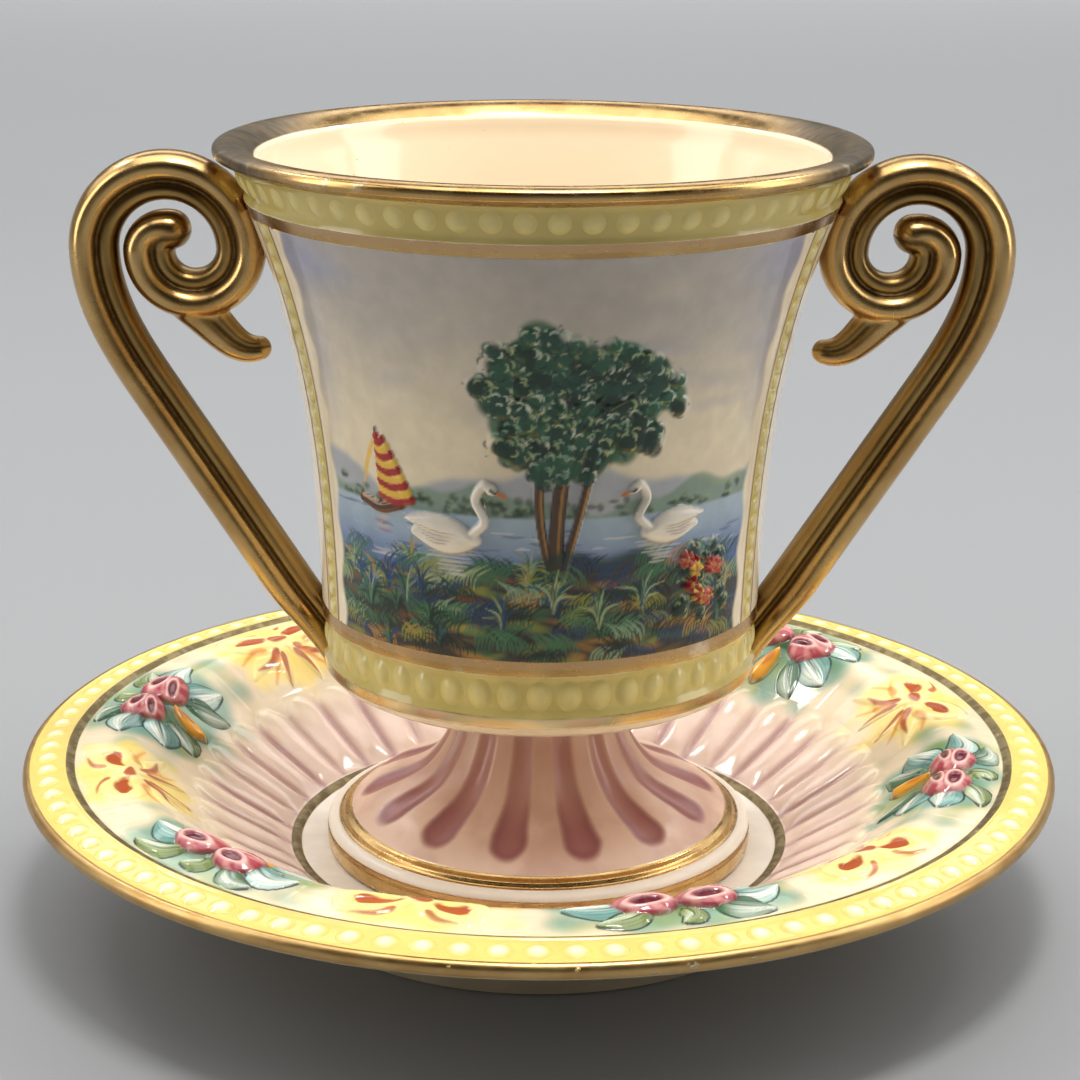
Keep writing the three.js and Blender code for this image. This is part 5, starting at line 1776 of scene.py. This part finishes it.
def reeded_section():
    """A wide round reed outside, a groove and a narrower flat reed inside, for a strap 1 wide and 1 deep."""
    wide, narrow = np.radians(np.linspace(-128, 128, 15)), np.radians([64, 85, 108, 133, 157, 180])
    outer = [(0.18 + 0.32 * math.cos(a), 0.5 * math.sin(a)) for a in wide]
    inner = [(-0.27 + 0.23 * math.cos(a), 0.38 * math.sin(a)) for a in narrow]
    below = [(x, -y) for x, y in inner[-2::-1]]
    loop = np.array(outer + [(-0.095, 0.29)] + inner + below + [(-0.095, -0.29)])
    closed = np.vstack([loop[-2:], loop, loop[:2]])
    return through(closed, 4)[8:8 + 4 * len(loop)]


STRAP_SECTION = reeded_section()


def sweep(line, width, depth, plain, turned_over=1):
    """A closed strap along a line of the handle's plane: reeded where plain is 0, round where it is 1."""
    way = line[-1] - line[-2]
    way = way / np.hypot(*way)
    bends = np.radians(np.linspace(8, 86, END_STEPS))
    line = np.vstack([line, line[-1] + 0.5 * width[-1] * np.sin(bends)[:, None] * way])
    width = np.concatenate([width, width[-1] * np.cos(bends)]) * turned_over
    depth = np.concatenate([depth, depth[-1] * np.cos(bends)]) * turned_over
    plain = np.concatenate([plain, np.full(END_STEPS, plain[-1])])
    spin = np.arctan2(STRAP_SECTION[:, 1], STRAP_SECTION[:, 0])
    round_section = 0.5 * np.column_stack([np.cos(spin), np.sin(spin)])
    way = np.gradient(line, axis=0)
    way = way / np.hypot(*way.T)[:, None]
    loops = []
    for spot, (along, up), wide, deep, share in zip(line, way, width, depth, plain):
        section = STRAP_SECTION * (1 - share) + round_section * share
        out = section[:, 0] * wide
        loops.append(np.column_stack([spot[0] + out * up, section[:, 1] * deep, spot[1] - out * along]))
    rows, columns = len(loops), len(STRAP_SECTION)
    number = np.arange(rows * columns).reshape(rows, columns)
    beside = np.roll(number, -1, axis=1)
    quads = np.stack([number[:-1], beside[:-1], beside[1:], number[1:]], axis=-1).reshape(-1, 4)
    caps = [(rows * columns, b, a) for a, b in zip(number[0], beside[0])]
    caps += [(rows * columns + 1, a, b) for a, b in zip(number[-1], beside[-1])]
    points = np.vstack(loops + [[[line[0, 0], 0, line[0, 1]], [line[-1, 0], 0, line[-1, 1]]]])
    return points, [[int(i) for i in face] for face in quads.tolist() + caps]


print("points round the strap:", len(STRAP_SECTION))

# %% [markdown]
# The remesh turns both sweeps into one skin of small even faces, which blurs the groove. So every point is
# moved back on the sweep it came from, except near the joints, where the blur is what a casting has. The
# stored paint tells the gilding where the inner reed and the groove lie.

# %% Fused handle
VOXEL = 0.18
TAIL_PLAIN = 0.6


def settle(piece, parts):
    """Moves the remeshed points back on the swept surfaces, except where the two run into each other."""
    trees = [BVHTree.FromPolygons((points * MM).tolist(), faces) for points, faces in parts]
    corners = points_of(piece) * MM
    found = [[tree.find_nearest(corner) for corner in corners.tolist()] for tree in trees]
    spots = np.array([[hit[0] for hit in hits] for hits in found])
    gaps = np.array([[hit[3] for hit in hits] for hits in found]) / MM
    nearer = np.argmin(gaps, axis=0)
    target = np.where((nearer == 0)[:, None], spots[0], spots[1])
    clear = smooth(abs(gaps[0] - gaps[1]), 0.15, 0.9) * smooth(gaps.min(axis=0), 0.3, 0.2)
    moved = corners + (target - corners) * clear[:, None]
    piece.data.vertices.foreach_set("co", moved.astype(np.float32).ravel())
    faces = np.array([[hit[2] for hit in hits] for hits in found])
    across = STRAP_SECTION[np.where(nearer == 0, faces[0], faces[1]) % len(STRAP_SECTION), 0]
    inner = smooth(across, -0.02, -0.12)
    groove = np.exp(-(((across + 0.09) / 0.06) ** 2))
    lay_paint(piece, np.column_stack([inner * clear, groove * clear, np.zeros(len(clear))]))


print("voxels are", VOXEL, "mm wide")

# %% [markdown]
# Strap and tail are swept, laid in one mesh, fused and softened, and then settled on their sweeps again.

# %% Right handle
def handle_mesh(name):
    """The right handle as one skin."""
    plain = np.concatenate([np.zeros(len(main_line) - EYE_STEPS), np.linspace(0, 1, EYE_STEPS)])
    parts = [sweep(main_line, main_width, np.full(len(main_line), STRAP_DEPTH), plain),
             sweep(tail_line, tail_width, tail_depth, np.full(TAIL_STEPS, TAIL_PLAIN), -1)]
    points, faces, count = [], [], 0
    for part_points, part_faces in parts:
        faces += [[i + count for i in face] for face in part_faces]
        points.append(part_points)
        count += len(part_points)
    piece = new_mesh(name, np.vstack(points), faces)
    remesh = piece.modifiers.new("fuse", "REMESH")
    remesh.mode = "VOXEL"
    remesh.voxel_size = VOXEL * MM
    remesh.use_smooth_shade = True
    soften = piece.modifiers.new("soften", "SMOOTH")
    soften.factor = 0.5
    soften.iterations = 9
    mesh = bpy.data.meshes.new_from_object(piece.evaluated_get(bpy.context.evaluated_depsgraph_get()))
    piece.modifiers.clear()
    piece.data = mesh
    settle(piece, parts)
    mesh.shade_smooth()
    return piece


handle_right = handle_mesh("handle_right_gilt")
print("the fused handle has", len(handle_right.data.vertices), "points")

# %% [markdown]
# The handles are gilt all over. The gold is painted deeper on the inner reed, and brown in the groove as
# painted shade, with rougher gold there. The left handle is the right one turned half round the cup.

# %% Gilding and both handles
gilding = new_material("gilding")
tree, place, split, reach_wire = place_wires(gilding)
stored = tree.node("ShaderNodeVertexColor", {"layer_name": "paint"})
inner = tree.node("ShaderNodeSeparateColor", None, {0: stored}, output=0)
groove = tree.node("ShaderNodeSeparateColor", None, {0: stored}, output=1)
tint = mix(inner * 0.6, gold_colour(tree, place), opaque("7a6334"))
# The brown in the groove is painted shade.
tint = mix(groove * 0.75, tint, opaque("3c2814"))
rough = 0.22 + groove * 0.2 + inner * 0.06 + noise(tree, place, 240, 4).between(0.3, 0.8) * 0.1
ripple = {"Strength": 0.3, "Distance": 0.3 * MM, "Height": noise(tree, place, 260, 2)}
join_shader(tree, tint, rough, 1.0, tree.node("ShaderNodeBump", None, ripple))

handle_left = bpy.data.objects.new("handle_left_gilt", handle_right.data.copy())
bpy.context.scene.collection.objects.link(handle_left)
handle_left.data.transform(Matrix.Rotation(math.pi, 4, "Z"))
dress(handle_right, "cup", gilding, "handle_right")
dress(handle_left, "cup", gilding, "handle_left")

# %% [markdown]
# The studio floor: a plain pale sheet that runs on to the horizon.

# %% Floor
corners = [(-3000, -3000, 0), (3000, -3000, 0), (3000, 6000, 0), (-3000, 6000, 0)]
floor = new_mesh("floor", corners, [(0, 1, 2, 3)])
floor_paint = new_material("floor_paint")
tree = Wire(floor_paint.node_tree)
shader = tree.node("ShaderNodeBsdfPrincipled", None, {"Base Color": opaque("87898c"), "Roughness": 0.75})
tree.node("ShaderNodeOutputMaterial", None, {"Surface": shader})
floor.data.materials.append(floor_paint)
print("floor across:", round(floor.dimensions.x, 1), "m")
